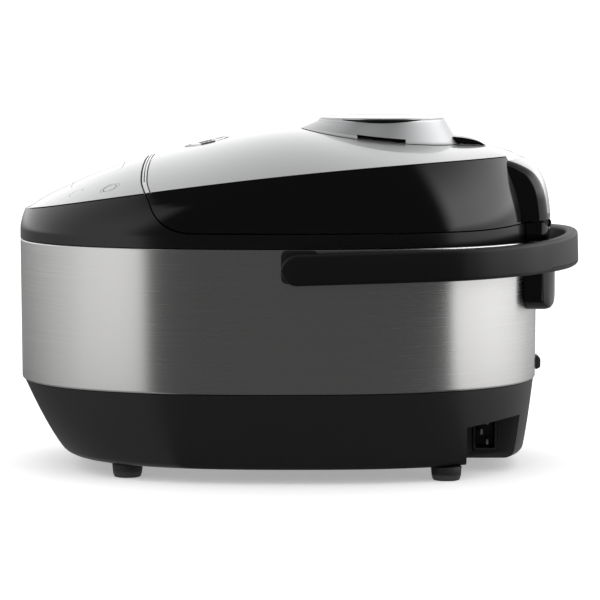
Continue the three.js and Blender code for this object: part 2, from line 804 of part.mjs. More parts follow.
function condensateCollector() {
  const cup = collectorBlock(0).subtract(wallBlock(gap));
  return cup.subtract(collectorBlock(1.8).subtract(wallBlock(gap + 1.8)));
}

// ---------------------------------------------------------------- power inlet

function powerInlet() {
  const flange = prismX(roundedRectangle(8.2, 12, 2).map(([a, b]) => [inletY + a, inletZ + b]), 36, 59.5);
  const chamfered = [[-6, -10.6], [6.6, -10.6], [6.6, 10.6], [-6, 10.6], [-6.8, 7], [-6.8, -7]];
  const mouth = prismX(chamfered.map(([a, b]) => [inletY + a, inletZ + b]), 41, 62);
  return flange.subtract(mouth).subtract(baseShellPart);
}

function inletPin(y, z) {
  return box(41 + gap, 56, y - 1, y + 1, z - 2, z + 2);
}

// ---------------------------------------------------------------- carrying handle

const handleSteps = 40;

function handleCurve(inset) {
  const half = [[146, -14], [146, 30], [145.9, 60], [144.2, 97], [140, 114], [131, 131], [116, 150.5],
    [99, 164.6], [80, 176.8], [58, 185.6], [30, 191.6], [0, 193.8]];
  const points = [...half, ...half.slice(0, -1).reverse().map(([x, y]) => [-x, y])];
  const curve = new THREE.SplineCurve(points.map(([x, y]) => new THREE.Vector2(x, y)));
  return curve.getPoints(handleSteps).map((point, index) => {
    const tangent = curve.getTangent(index / handleSteps);
    return [point.x - tangent.y * inset, point.y + tangent.x * inset];
  });
}

function handleBody(thickness, lowZ, highZ) {
  const plan = prismZ([...handleCurve(0), ...handleCurve(thickness).reverse()], lowZ, highZ + 6);
  const side = new THREE.Path();
  side.moveTo(0, lowZ);
  side.lineTo(220, lowZ);
  side.lineTo(220, highZ + 3.6);
  side.lineTo(192, highZ + 2.2);
  side.quadraticCurveTo(168, highZ, 145, highZ);
  side.lineTo(0, highZ);
  side.absarc(0, 0, highZ, Math.PI / 2, Math.PI * 1.5);
  return plan.intersect(prismX(side.getPoints(8).map((point) => [point.x, point.y]), -170, 170));
}

function handleTurned(piece) {
  return piece.rotate([THREE.MathUtils.radToDeg(handleTilt), 0, 0])
    .translate([0, handlePivotY, handlePivotZ]);
}

function handleBail() {
  const half = handleHeight / 2;
  const body = handleBody(handleThickness, -half, half);
  const pinHoles = cylinderX(0, 0, 2.6, -142, 142);
  const reach = gripHalfWidth + gap;
  const gripSeat = box(-reach, reach, 150, 220, -half - 1, gripHeight - half);
  return handleTurned(body.subtract(pinHoles).subtract(gripSeat));
}

function handleGrip() {
  const half = handleHeight / 2;
  const underside = box(-gripHalfWidth, gripHalfWidth, 150, 220, -half, gripHeight - half - gap);
  return handleTurned(handleBody(handleThickness, -half, half).intersect(underside));
}

function handlePlate(side) {
  const plate = prismX(roundedRectangle(12.5, 12.5, 4).map(([a, b]) => [handlePivotY + a, handlePivotZ + b]),
    side > 0 ? 130 : -137.2, side > 0 ? 137.2 : -130);
  return plate.subtract(wallBlock(gap)).subtract(cylinderX(handlePivotY, handlePivotZ, 4.4, -150, 150));
}

function handlePin(side) {
  const shank = cylinderX(handlePivotY, handlePivotZ, 4, side > 0 ? 128 : -137.4, side > 0 ? 137.4 : -128);
  const head = cylinderX(handlePivotY, handlePivotZ, 7, side > 0 ? 126 : -128, side > 0 ? 128 : -126);
  const stem = cylinderX(handlePivotY, handlePivotZ, 2.2, side > 0 ? 137 : -141.4, side > 0 ? 141.4 : -137);
  return shank.add(head).add(stem);
}

// ---------------------------------------------------------------- assembly

const baseShellPart = baseShell();
const cooker = new THREE.Group();

function place(name, piece, look) {
  const geometry = piece.isBufferGeometry ? piece : geometryOf(piece);
  const mesh = new THREE.Mesh(geometry, look);
  mesh.name = name;
  cooker.add(mesh);
}

place('base_shell', baseShellPart, blackSatin);
place('bottom_cover', bottomCover(), blackSatin);
for (const [name, x, y] of footPlaces) {
  place(`foot_${name}`, foot(x, y), blackRubber);
}
for (let index = 0; index < 4; index += 1) {
  place(`bottom_screw_${index + 1}`, bottomScrew(((index + 0.5) * Math.PI) / 2), springSteel);
}
place('steel_band', steelBand(), brushedSteel);
place('rear_bumper', rearBumper(), blackRubber);
place('upper_housing', upperHousing(), blackSatin);
place('control_panel', controlPanel(), silverGloss);
place('display_window', displayWindow(), displayGlass);
for (const [name, x, y, radius] of consoleKeys) {
  place(name, consoleKey(x, y, radius), silverSatin);
}
place('control_board', controlBoard(), boardGreen);
place('power_board', powerBoard(), boardGreen);
place('inner_well', innerWell(), aluminium);
place('heating_plate', heatingPlate(), aluminium);
place('heater_ring', heaterRing(), springSteel);
place('thermal_fuse', thermalFuse(), brass);
place('temperature_sensor', temperatureSensor(), aluminium);
place('sensor_spring', sensorSpring(), springSteel);
place('sensor_bracket', sensorBracket(), springSteel);
place('inner_pot', innerPot(), potCoating);
place('power_inlet', powerInlet(), blackSatin);
place('inlet_pin_live', inletPin(inletY + 1.8, inletZ - 7), brass);
place('inlet_pin_neutral', inletPin(inletY + 1.8, inletZ + 7), brass);
place('inlet_pin_earth', inletPin(inletY - 2.2, inletZ), brass);
place('handle_plate_right', handlePlate(1), blackSatin);
place('handle_plate_left', handlePlate(-1), blackSatin);
place('hinge_block', hingeBlock(), blackGloss);
place('hinge_pin', hingePin(), springSteel);
place('hinge_spring', hingeSpring(), springSteel);
place('latch_keeper', latchKeeper(), springSteel);
place('lid_body', lidBody(), blackGloss);
place('lid_cover', lidCover(), silverGloss);
place('lid_trim', lidTrim(), chrome);
place('lid_liner', lidLiner(), innerPlastic);
place('inner_lid', innerLid(), aluminium);
place('inner_lid_gasket', innerLidGasket(), siliconeGrey);
place('steam_tube', steamTube(), siliconeGrey);
place('lid_hinge_arm', lidHingeArm(), springSteel);
place('button_ring', buttonRing(), chrome);
place('latch_spring', latchSpring(), springSteel);
place('release_button', releaseButton(), silverGloss);
place('latch_hook', latchHook(), innerPlastic);
place('steam_cap_shell', steamCapShell(), silverSatin);
place('steam_cap_disc', steamCapDisc(), silverGloss);
place('steam_cap_core', steamCapCore(), blackSatin);
place('steam_cap_tab', steamCapTab(), blackGloss);
place('condensate_collector', condensateCollector(), blackGloss);
place('handle_bail', handleBail(), blackSatin);
place('handle_grip', handleGrip(), blackSatin);
place('handle_pin_right', handlePin(1), springSteel);
place('handle_pin_left', handlePin(-1), springSteel);

export default cooker;
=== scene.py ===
"""Rice cooker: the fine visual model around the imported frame.

Shapes are worked out in millimetres, in the frame's own axes, and turned into metres
when each piece is finished. The main sizes and places come from the boxes and joints of
the frame. Profiles are lists of points, as (y, z), (x, y) or (radius, z).
"""

import json
import math
from collections import namedtuple

import bmesh
import bpy
import numpy as np
from mathutils import Matrix, Vector
from mathutils.bvhtree import BVHTree


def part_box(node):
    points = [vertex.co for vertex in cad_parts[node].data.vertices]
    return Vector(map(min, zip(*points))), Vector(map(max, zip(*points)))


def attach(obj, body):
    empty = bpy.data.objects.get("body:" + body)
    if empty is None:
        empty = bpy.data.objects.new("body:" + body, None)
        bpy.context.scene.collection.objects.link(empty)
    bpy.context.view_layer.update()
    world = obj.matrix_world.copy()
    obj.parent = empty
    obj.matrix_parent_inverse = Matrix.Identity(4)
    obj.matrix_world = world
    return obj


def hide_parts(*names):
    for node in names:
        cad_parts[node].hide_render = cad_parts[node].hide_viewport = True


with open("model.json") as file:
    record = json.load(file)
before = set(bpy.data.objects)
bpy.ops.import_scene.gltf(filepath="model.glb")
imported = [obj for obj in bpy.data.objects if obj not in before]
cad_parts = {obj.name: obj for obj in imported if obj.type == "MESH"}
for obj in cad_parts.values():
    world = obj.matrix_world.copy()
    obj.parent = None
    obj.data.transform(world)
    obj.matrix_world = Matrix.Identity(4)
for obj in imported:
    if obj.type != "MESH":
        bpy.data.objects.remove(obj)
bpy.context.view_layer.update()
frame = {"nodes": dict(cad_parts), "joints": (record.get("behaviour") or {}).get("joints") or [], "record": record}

MM = 0.001
TAU = 2 * math.pi
GAP = 0.35  # clearance between neighbouring pieces
PLAN_STEPS = 192
SIDE = 160.0  # half-width of the tools that cut across the whole body
CUT_LOW = 150.0  # bottom and top of the tools that cut down through lid and console
CUT_HIGH = 260.0

record = frame["record"]
node_slot = {row["node"]: row["material_slot"] for row in record["subparts"]}
node_body = {
    node: body
    for body, nodes in record["behaviour"]["bodies"].items()
    for node in nodes
}
joint_place = {joint["name"]: joint["pos_m"] for joint in frame["joints"] if "pos_m" in joint}


# ---- sizes from the frame


def box_mm(node):
    low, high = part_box(node)
    return low / MM, high / MM


def middle(node):
    low, high = box_mm(node)
    return (low + high) / 2


Outline = namedtuple("Outline", "half_x half_y centre_y power")

band_low, band_high = box_mm("steel_band")
BAND_BOTTOM = band_low.z
BAND_TOP = band_high.z
SHELL_WALL = 2.6
WALL = Outline(
    band_high.x, (band_high.y - band_low.y) / 2, (band_high.y + band_low.y) / 2, 2.45
)


def drawn_in(outline, by_x, by_y, shift_y, power):
    return Outline(
        outline.half_x - by_x, outline.half_y - by_y, outline.centre_y + shift_y, power
    )


BAND_FOOT = drawn_in(WALL, 0.9, 0.6, 0.1, 2.45)
BASE_TOP = drawn_in(WALL, 2.1, 2.0, 0.3, 2.45)
BASE_FOOT = drawn_in(WALL, 13.5, 21.8, 11.7, 2.6)
EDGE = drawn_in(WALL, 17.5, 6.4, -2.9, 2.3)

EDGE_CURVE = (206.7, 0.1009, -0.000232)  # height, slope and bend of the silver's edge
WALL_CURL = 1.7  # how late the side walls lean in
CROWN_POWER = 2.2  # how late the dome falls off to the sides

BASE_BOTTOM = box_mm("base_shell")[0].z
BASE_FLARE = 0.75
BASE_ROUND = 5.0  # rounding of the casing's bottom edge, and its share of the height
BASE_ROUND_LEVEL = 0.09
BAND_FOLD = 1.4  # the band's rolled lower edge, its height and its rounded upper edge
BAND_FOLD_HEIGHT = 1.5
BAND_BEAD = 1.1
BAND_WALL = 1.6
WALL_TOP = 165.0
SEAM_Z = 167.9
SEAM_FRONT_Y = box_mm("lid_trim")[0].y - 0.5
SEAM_HALF = 70.0
SEAM_BACK = 2.3
SEAM_BOW = 2.6
TRIM_WIDTH = 2.9
SKIN = 1.6
HOUSING_WALL = 3.6
LID_WALL = 4.2

pot_low, pot_high = box_mm("inner_pot")
POT_Y = (pot_low.y + pot_high.y) / 2
POT_RADIUS = pot_high.x - 9.0
POT_BOTTOM = pot_low.z
POT_RIM = pot_high.z - 1.2
POT_WALL = 1.6
POT_CORNER = 24.0
LID_OPENING = POT_RADIUS + 4.0

HINGE_Y = joint_place["lid_hinge"][1] / MM
HINGE_Z = joint_place["lid_hinge"][2] / MM
BARREL_REACH = 36.0
BARREL_RADIUS = 5.8
KNUCKLE_X = 27.5
KNUCKLE_HALF = 6.5
KNUCKLE_RADIUS = 3.9
HINGE_PIN_BORE = 2.3
HUMP_HALF = 65.0
HUMP_FILLET = 8.0
HUMP_ARCH = (0.115, 2.4)  # share and power by which its sections shrink towards the sides
HUMP_EDGE = (0.03, 16)  # and again close to its ends
HUMP_SHRINK_Y = 120.0  # the hump's sections draw in towards this place
HUMP_ROUND_Y = 130.0  # and their ends round off towards this one
LID_GAP = 0.9

PIVOT_Y = joint_place["handle_pivot"][1] / MM
PIVOT_Z = joint_place["handle_pivot"][2] / MM
HANDLE_TILT = math.radians(1.7)
HANDLE_HALF = 10.4
HANDLE_END_Y = -1.9
HANDLE_THICK = 8.4
GRIP_HALF = 92.0
GRIP_HEIGHT = 3.2
GRIP_RISE = 2.4  # extra height of the bar at the grip, and the stretch it grows over
GRIP_RISE_FROM = 145.0
GRIP_RISE_LENGTH = 48.0
PLATE_HALF_Y = 12.5
PLATE_HALF_Z = 11.0
PLATE_ABOVE_PIVOT = 1.5
PIVOT_HOLE = 4.4  # radius, in the band and the handle's plates
HANDLE_PIN_BORE = 2.6

disc_low, disc_high = box_mm("steam_cap_disc")
CAP_Y = (disc_low.y + disc_high.y) / 2 - 1.0
CAP_Z = disc_low.z
CAP_TOP_RADIUS = disc_high.x + 1.6
CAP_FOOT_RADIUS = CAP_TOP_RADIUS + 10.5
CAP_MID_Y = CAP_Y + 1
CAP_SHOULDER = 1.65
CAP_LIP = 0.9  # width of the lip at the foot, and its share of the wall's height
CAP_LIP_RISE = 0.12

BUTTON = middle("button_ring")
BUTTON_HALF_X = 19.0
BUTTON_HALF_Y = 15.0
BUTTON_FLOOR = 0.8  # depth of the dished cap below the dome
DISH_RADIUS = 60.0
WINDOW = middle("display_window")
COLLECTOR_LOW, COLLECTOR_HIGH = box_mm("condensate_collector")
COLLECTOR_ROUND = 12.0
COLLECTOR_WALL = 1.8
INLET = middle("power_inlet")
INLET_HALF_Y = 8.2
INLET_HALF_Z = 12.0
INLET_FIT = 0.4  # clearance around the inlet in the casing
INLET_DEPTH = 23.5
INLET_MOUTH_DEPTH = 18.5
RECESS_ROOF = [(112.0, 36.2), (140.0, 39.4), (190.0, 41.0)]
KEY_GROOVE = 0.7  # width of the ring groove in the start key


# ---- solids


def natural_spline(points):
    """A smooth curve y = f(x) through the points, as a function."""
    xs, ys = np.array(points, float).T
    step = np.diff(xs)
    count = len(xs)
    system = np.eye(count)
    for i in range(1, count - 1):
        system[i, i - 1 : i + 2] = step[i - 1], 2 * (step[i - 1] + step[i]), step[i]
    turns = 6 * np.diff(np.diff(ys) / step)
    bend = np.linalg.solve(system, [0, *turns, 0])

    def curve(x):
        x = min(max(x, xs[0]), xs[-1])
        i = min(max(int(np.searchsorted(xs, x)) - 1, 0), count - 2)
        low = (xs[i + 1] - x) / step[i]
        high = (x - xs[i]) / step[i]
        return (
            low * ys[i]
            + high * ys[i + 1]
            + ((low**3 - low) * bend[i] + (high**3 - high) * bend[i + 1]) * step[i] ** 2 / 6
        )

    return curve


def smooth_path(points, steps):
    """Points along a smooth open curve through the given ones (Catmull-Rom)."""
    knots = [np.array(point, float) for point in points]
    knots = [2 * knots[0] - knots[1], *knots, 2 * knots[-1] - knots[-2]]
    path = []
    for a, b, c, d in zip(knots, knots[1:], knots[2:], knots[3:]):
        for step in range(steps):
            t = step / steps
            path.append(
                0.5 * (2 * b + (c - a) * t + (2 * a - 5 * b + 4 * c - d) * t**2
                       + (3 * b - a - 3 * c + d) * t**3)
            )
    path.append(knots[-2])
    return [tuple(point) for point in path]


def quad_curve(start, control, end, steps=10):
    path = []
    for step in range(1, steps + 1):
        t = step / steps
        path.append(tuple(
            (1 - t) ** 2 * a + 2 * t * (1 - t) * b + t * t * c
            for a, b, c in zip(start, control, end)
        ))
    return path


def arc(centre_a, centre_b, radius, start, end, steps=8):
    """Points of an arc, its angles in degrees."""
    turns = [math.radians(start + (end - start) * i / steps) for i in range(steps + 1)]
    return [(centre_a + radius * math.cos(t), centre_b + radius * math.sin(t)) for t in turns]


def quarter(steps):
    """Turns from nothing to a right angle, in equal steps."""
    return [math.pi / 2 * i / steps for i in range(steps + 1)]


def solid(vertices, faces):
    """A closed mesh in millimetres with its faces pointing out."""
    mesh = bpy.data.meshes.new("solid")
    mesh.from_pydata([tuple(v) for v in vertices], [], faces)
    build = bmesh.new()
    build.from_mesh(mesh)
    bmesh.ops.remove_doubles(build, verts=build.verts, dist=1e-5)
    bmesh.ops.dissolve_degenerate(build, edges=build.edges, dist=1e-6)
    bmesh.ops.recalc_face_normals(build, faces=build.faces)
    if build.calc_volume(signed=True) < 0:
        bmesh.ops.reverse_faces(build, faces=build.faces)
    build.to_mesh(mesh)
    build.free()
    return mesh


def grid_faces(levels, steps, closed=True):
    """Quads between neighbouring rings of points."""
    faces = []
    for low in range(0, (levels - 1) * steps, steps):
        for step in range(steps if closed else steps - 1):
            after = (step + 1) % steps
            faces.append((low + step, low + after, low + steps + after, low + steps + step))
    return faces


def loft(rings, tip=None):
    """Joins rings of equal length into one closed solid, with an optional tip on the last."""
    steps = len(rings[0])
    vertices = [point for ring in rings for point in ring]
    faces = [tuple(reversed(range(steps))), *grid_faces(len(rings), steps)]
    last = (len(rings) - 1) * steps
    if tip is None:
        faces.append(tuple(range(last, last + steps)))
    else:
        vertices.append(tip)
        for step in range(steps):
            faces.append((last + step, last + (step + 1) % steps, len(vertices) - 1))
    return solid(vertices, faces)


def prism_x(points, low, high):
    return loft([[(x, y, z) for y, z in points] for x in (low, high)])


def prism_z(points, low, high):
    return loft([[(x, y, z) for x, y in points] for z in (low, high)])


def block(low_x, high_x, low_y, high_y, low_z, high_z):
    corners = [(low_x, low_y), (high_x, low_y), (high_x, high_y), (low_x, high_y)]
    return prism_z(corners, low_z, high_z)


def wide_block(half_x, *others):
    return block(-half_x, half_x, *others)


def circle(radius, steps, x=0.0, y=0.0):
    return [
        (x + radius * math.cos(TAU * i / steps), y + radius * math.sin(TAU * i / steps))
        for i in range(steps)
    ]


def cylinder_z(x, y, radius, low, high, steps=48):
    return prism_z(circle(radius, steps, x, y), low, high)


def cylinder_x(y, z, radius, half_x, steps=40):
    return prism_x(circle(radius, steps, y, z), -half_x, half_x)


def shaft(place, radius, steps=64):
    """An upright cylinder through the lid or the console."""
    return cylinder_z(place.x, place.y, radius, CUT_LOW, CUT_HIGH, steps)


def turned(x, y, profile, steps=96):
    """A closed loop of (radius, z) turned about a vertical axis."""
    vertices = []
    for i in range(steps):
        angle = TAU * i / steps
        vertices += [
            (x + max(radius, 0) * math.cos(angle), y + max(radius, 0) * math.sin(angle), z)
            for radius, z in profile
        ]
    count = len(profile)
    faces = []
    for i in range(steps):
        following = (i + 1) % steps
        for j in range(count):
            k = (j + 1) % count
            if profile[j][0] <= 0 and profile[k][0] <= 0:
                continue
            faces.append((i * count + j, following * count + j,
                          following * count + k, i * count + k))
    return solid(vertices, faces)


def rounded_rectangle(half_a, half_b, radius, steps=6):
    points = []
    for sign_a, sign_b, start in ((1, -1, -90), (1, 1, 0), (-1, 1, 90), (-1, -1, 180)):
        points += arc(sign_a * (half_a - radius), sign_b * (half_b - radius), radius,
                      start, start + 90, steps)
    return points


def as_object(data, name="work"):
    """A new object in the scene, holding a mesh, a light or a camera."""
    item = bpy.data.objects.new(name, data)
    bpy.context.scene.collection.objects.link(item)
    return item


def with_modifier(mesh, kind, **values):
    """The mesh after one modifier."""
    item = as_object(mesh)
    modifier = item.modifiers.new("step", kind)
    for key, value in values.items():
        setattr(modifier, key, value)
    graph = bpy.context.evaluated_depsgraph_get()
    made = bpy.data.meshes.new_from_object(item.evaluated_get(graph))
    bpy.data.objects.remove(item)
    return made


def combined(how, first, others):
    for other in others:
        tool = as_object(other, "tool")
        first = with_modifier(first, "BOOLEAN", operation=how, object=tool, solver="MANIFOLD")
        bpy.data.objects.remove(tool)
    return first


def cut(first, *tools):
    return combined("DIFFERENCE", first, tools)


def joined(first, *others):
    return combined("UNION", first, others)


def common(first, *others):
    return combined("INTERSECT", first, others)


def changed(mesh, matrix):
    copy = mesh.copy()
    copy.transform(matrix)
    return copy


def moved(mesh, x, y, z):
    return changed(mesh, Matrix.Translation((x, y, z)))


def bevelled(mesh, width, segments=2, angle=35):
    return with_modifier(
        mesh, "BEVEL", width=width, segments=segments, limit_method="ANGLE",
        angle_limit=math.radians(angle), use_clamp_overlap=True,
    )


# ---- smooth shading


SHEET_REACH = 0.25  # a face takes a sheet's normal within this distance and this angle
SHEET_ANGLE = 16


class Sheet:
    """A fine open surface that lends its smooth normals to pieces cut from it."""

    def __init__(self, rings, closed=True):
        grid = np.array(rings, float)
        around = np.roll(grid, -1, axis=1) - np.roll(grid, 1, axis=1)
        if not closed:
            around[:, 0] = grid[:, 1] - grid[:, 0]
            around[:, -1] = grid[:, -1] - grid[:, -2]
        along = np.gradient(grid, axis=0)
        normals = np.cross(around, along)
        length = np.linalg.norm(normals, axis=2, keepdims=True)
        self.normals = (normals / np.maximum(length, 1e-9)).reshape(-1, 3)
        self.points = grid.reshape(-1, 3)
        self.faces = []
        for a, b, c, d in grid_faces(len(rings), len(rings[0]), closed):
            self.faces += [(a, b, c), (a, c, d)]
        self.tree = BVHTree.FromPolygons([Vector(p) for p in self.points], self.faces)

    def normal_near(self, point, reach):
        place, _, index, _ = self.tree.find_nearest(point, reach)
        if place is None:
            return None
        total = sum(
            self.normals[corner] / ((place - Vector(self.points[corner])).length + 1e-4)
            for corner in self.faces[index]
        )
        return Vector(total).normalized()


def shade(mesh, sheets, crease):
    """Smooth shading with creases, taking the normals of the sheets that the faces lie on."""
    for polygon in mesh.polygons:
        polygon.use_smooth = True
    mesh.set_sharp_from_angle(angle=math.radians(crease))
    if not sheets:
        return
    near = math.cos(math.radians(SHEET_ANGLE))
    own = [Vector(n.vector) for n in mesh.corner_normals]
    found = {}
    for polygon in mesh.polygons:
        for loop in polygon.loop_indices:
            corner = mesh.loops[loop].vertex_index
            if corner not in found:
                point = mesh.vertices[corner].co
                found[corner] = [
                    n for n in (sheet.normal_near(point, SHEET_REACH) for sheet in sheets) if n
                ]
            facing = [n if n.dot(polygon.normal) > 0 else -n for n in found[corner]]
            best = max(facing, key=polygon.normal.dot, default=None)
            if best is not None and best.dot(polygon.normal) > near:
                own[loop] = best
    mesh.normals_split_custom_set([tuple(n) for n in own])


def renew(node, mesh, sheets=(), crease=30, look=None):
    """Turns a mesh in millimetres into the fine piece in the place of one node."""
    if len(mesh.polygons) == 0:
        raise RuntimeError(f"{node} has no faces")
    build = bmesh.new()
    build.from_mesh(mesh)
    bmesh.ops.dissolve_degenerate(build, edges=build.edges, dist=1e-4)
    build.to_mesh(mesh)
    build.free()
    shade(mesh, sheets, crease)
    mesh.transform(Matrix.Scale(MM, 4))
    item = as_object(mesh, f"{node}_fine")
    mesh.materials.clear()
    mesh.materials.append(look or looks[node_slot[node]])
    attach(item, node_body[node])
    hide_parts(node)


# ---- materials


RELIEF_DEPTH = 0.0001  # in metres


def set_inputs(node, **values):
    """Sets a node's inputs. An underscore in a keyword stands for the space in the name."""
    for name, value in values.items():
        node.inputs[name.replace("_", " ")].default_value = value
    return node


def new_node(tree, kind, **values):
    return set_inputs(tree.nodes.new("ShaderNode" + kind), **values)


def surface_look(name, pale, dark, grain, roughness, spread=0.04, metallic=0.0,
                 coat=0.0, coat_roughness=0.03, bump=0.0, stretch=(1, 1, 1)):
    """A principled surface whose colour and roughness drift with fine noise."""
    material = bpy.data.materials.new(name)
    material.use_nodes = True
    tree = material.node_tree
    shader = tree.nodes["Principled BSDF"]
    set_inputs(shader, Metallic=metallic, Coat_Weight=coat, Coat_Roughness=coat_roughness)
    place = new_node(tree, "TexCoord")
    scaling = new_node(tree, "Mapping", Scale=stretch)
    noise = new_node(tree, "TexNoise", Scale=grain, Detail=4)
    blend = new_node(tree, "Mix")
    blend.data_type = "RGBA"
    set_inputs(blend, A=(*dark, 1), B=(*pale, 1))
    rough = new_node(tree, "MapRange", To_Min=roughness - spread, To_Max=roughness + spread)
    link = tree.links.new
    link(place.outputs["Object"], scaling.inputs["Vector"])
    link(scaling.outputs["Vector"], noise.inputs["Vector"])
    link(noise.outputs["Fac"], blend.inputs["Factor"])
    link(noise.outputs["Fac"], rough.inputs["Value"])
    link(blend.outputs["Result"], shader.inputs["Base Color"])
    link(rough.outputs["Result"], shader.inputs["Roughness"])
    if bump > 0:
        relief = new_node(tree, "Bump", Strength=bump, Distance=RELIEF_DEPTH)
        link(noise.outputs["Fac"], relief.inputs["Height"])
        link(relief.outputs["Normal"], shader.inputs["Normal"])
    return material


def brushed_look(name, pale, dark, roughness):
    """Steel brushed level around the body: long fine lines, drawn out across the height."""
    material = surface_look(
        name, pale, dark, 1.0, roughness, spread=0.04, metallic=1.0, bump=0.045,
        stretch=(8, 8, 3000),
    )
    shader = material.node_tree.nodes["Principled BSDF"]
    set_inputs(shader, Anisotropic=0.75, Anisotropic_Rotation=0.25)
    tangent = new_node(material.node_tree, "Tangent")
    tangent.direction_type = "RADIAL"
    tangent.axis = "Z"
    material.node_tree.links.new(tangent.outputs["Tangent"], shader.inputs["Tangent"])
    return material


looks = {
    "casing_black": surface_look("satin_black_plastic",
        (0.0085, 0.0085, 0.0088), (0.0065, 0.0065, 0.0068), 1400, 0.3, bump=0.12),
    "upper_black": surface_look("satin_upper_plastic",
        (0.002, 0.002, 0.0021), (0.0015, 0.0015, 0.0016), 1400, 0.2, spread=0.02, bump=0.05),
    "gloss_black": surface_look("gloss_black_plastic",
        (0.0012, 0.0012, 0.00125), (0.0008, 0.0008, 0.00085), 500, 0.09, spread=0.01),
    "handle_black": surface_look("handle_black_plastic",
        (0.0016, 0.0016, 0.0017), (0.0011, 0.0011, 0.0012), 1500, 0.5, bump=0.15),
    "rubber_black": surface_look("matt_black_rubber",
        (0.014, 0.014, 0.014), (0.009, 0.009, 0.009), 900, 0.62, bump=0.2),
    "brushed_band": brushed_look("brushed_steel",
        (0.79, 0.785, 0.778), (0.68, 0.675, 0.668), 0.26),
    "silver_skin": surface_look("silver_lacquer",
        (0.60, 0.605, 0.61), (0.53, 0.535, 0.54), 5200, 0.3, spread=0.05, metallic=0.85, coat=0.9,
        coat_roughness=0.04),
    "silver_satin": surface_look("satin_silver_lacquer",
        (0.56, 0.565, 0.57), (0.5, 0.505, 0.51), 5200, 0.34, spread=0.04, metallic=0.8),
    "bright_trim": surface_look("bright_chrome",
        (0.82, 0.82, 0.825), (0.76, 0.76, 0.765), 300, 0.1, spread=0.02, metallic=1.0),
    "display_glass": surface_look("display_window",
        (0.42, 0.44, 0.43), (0.38, 0.40, 0.39), 300, 0.1, spread=0.02, metallic=0.3, coat=1.0),
    "plain_aluminium": surface_look("spun_aluminium",
        (0.66, 0.665, 0.67), (0.56, 0.565, 0.57), 700, 0.36, spread=0.06, metallic=1.0, bump=0.05),
    "plain_steel": surface_look("plain_steel",
        (0.56, 0.56, 0.565), (0.46, 0.46, 0.465), 600, 0.3, spread=0.06, metallic=1.0),
    "pot_coating": surface_look("pot_coating",
        (0.045, 0.045, 0.047), (0.025, 0.025, 0.027), 2600, 0.42, spread=0.08, metallic=0.2,
        bump=0.15),
    "brass_parts": surface_look("brass",
        (0.72, 0.6, 0.36), (0.6, 0.49, 0.27), 500, 0.26, spread=0.05, metallic=1.0),
    "circuit_board": surface_look("circuit_board",
        (0.03, 0.16, 0.06), (0.015, 0.09, 0.035), 260, 0.45, spread=0.1),
    "grey_plastic": surface_look("grey_plastic",
        (0.17, 0.175, 0.18), (0.14, 0.145, 0.15), 1200, 0.5, spread=0.06, bump=0.1),
    "silicone_grey": surface_look("grey_silicone",
        (0.36, 0.365, 0.37), (0.3, 0.305, 0.31), 700, 0.55, spread=0.06, bump=0.06),
}


# ---- the body's form

crown_height = natural_spline([
    (-192, 176), (-181, 184.2), (-168, 190.8), (-151, 198.6), (-126, 208.3), (-105, 214.6),
    (-80, 220.4), (-42, 228.6), (0, 233.4), (35, 231.8), (75, 227.2), (110, 222.8),
    (136, 220.6), (162, 211),
])


def edge_height(y):
    """Height of the line where the silver skins meet the black side walls."""
    height, slope, bend = EDGE_CURVE
    return height + slope * y + bend * y * y


def top_height(x, y):
    along = min(1, abs(y - EDGE.centre_y) / EDGE.half_y)
    half_width = EDGE.half_x * (1 - along**EDGE.power) ** (1 / EDGE.power)
    across = min(1, abs(x) / half_width) if half_width > 1e-6 else 1
    return crown_height(y) - (crown_height(y) - edge_height(y)) * across**CROWN_POWER


def outline_point(outline, angle, inset=0.0):
    reach = 2 / outline.power
    c = math.cos(angle)
    s = math.sin(angle)
    return (
        (outline.half_x - inset) * math.copysign(abs(c) ** reach, c),
        outline.centre_y + (outline.half_y - inset) * math.copysign(abs(s) ** reach, s),
    )


def plan_angles(steps=PLAN_STEPS):
    return [TAU * i / steps for i in range(steps)]


def outline_ring(outline, z, inset=0.0):
    return [(*outline_point(outline, a, inset), z) for a in plan_angles()]


def between(first, second, amount):
    return tuple(a + (b - a) * amount for a, b in zip(first, second))


def wall_ring(rise, inset=0.0):
    ring = []
    for angle in plan_angles():
        place = between(outline_point(WALL, angle, inset), outline_point(EDGE, angle, inset),
                        rise**WALL_CURL)
        height = edge_height(outline_point(EDGE, angle)[1]) - inset
        ring.append((*place, WALL_TOP + (height - WALL_TOP) * rise))
    return ring


def top_ring(scale, inset=0.0):
    ring = []
    for angle in plan_angles():
        edge_x, edge_y = outline_point(EDGE, angle)
        x = edge_x * scale
        y = EDGE.centre_y + (edge_y - EDGE.centre_y) * scale
        ring.append((x, y, top_height(x, y) - inset))
    return ring


WALL_RISES = [i / 14 for i in range(1, 15)]
TOP_SCALES = [0.99, 0.975] + [0.95 - 0.03 * i for i in range(31)] + [0.025]


def upper_envelope(inset, bottom):
    rings = [outline_ring(WALL, bottom, inset)]
    if bottom < WALL_TOP - 1:
        rings.append(outline_ring(WALL, WALL_TOP, inset))
    rings += [wall_ring(rise, inset) for rise in WALL_RISES]
    rings += [top_ring(scale, inset) for scale in TOP_SCALES]
    tip = (0, EDGE.centre_y, top_height(0, EDGE.centre_y) - inset)
    return loft(rings, tip)


HUMP_PROFILE = smooth_path([
    (172.5, 160), (173.5, 173), (172.6, 184), (171, 193), (168, 201.5), (162.5, 209),
    (155, 213.8), (146, 217.4), (134, 219.8), (96, 221.5),
], 6)


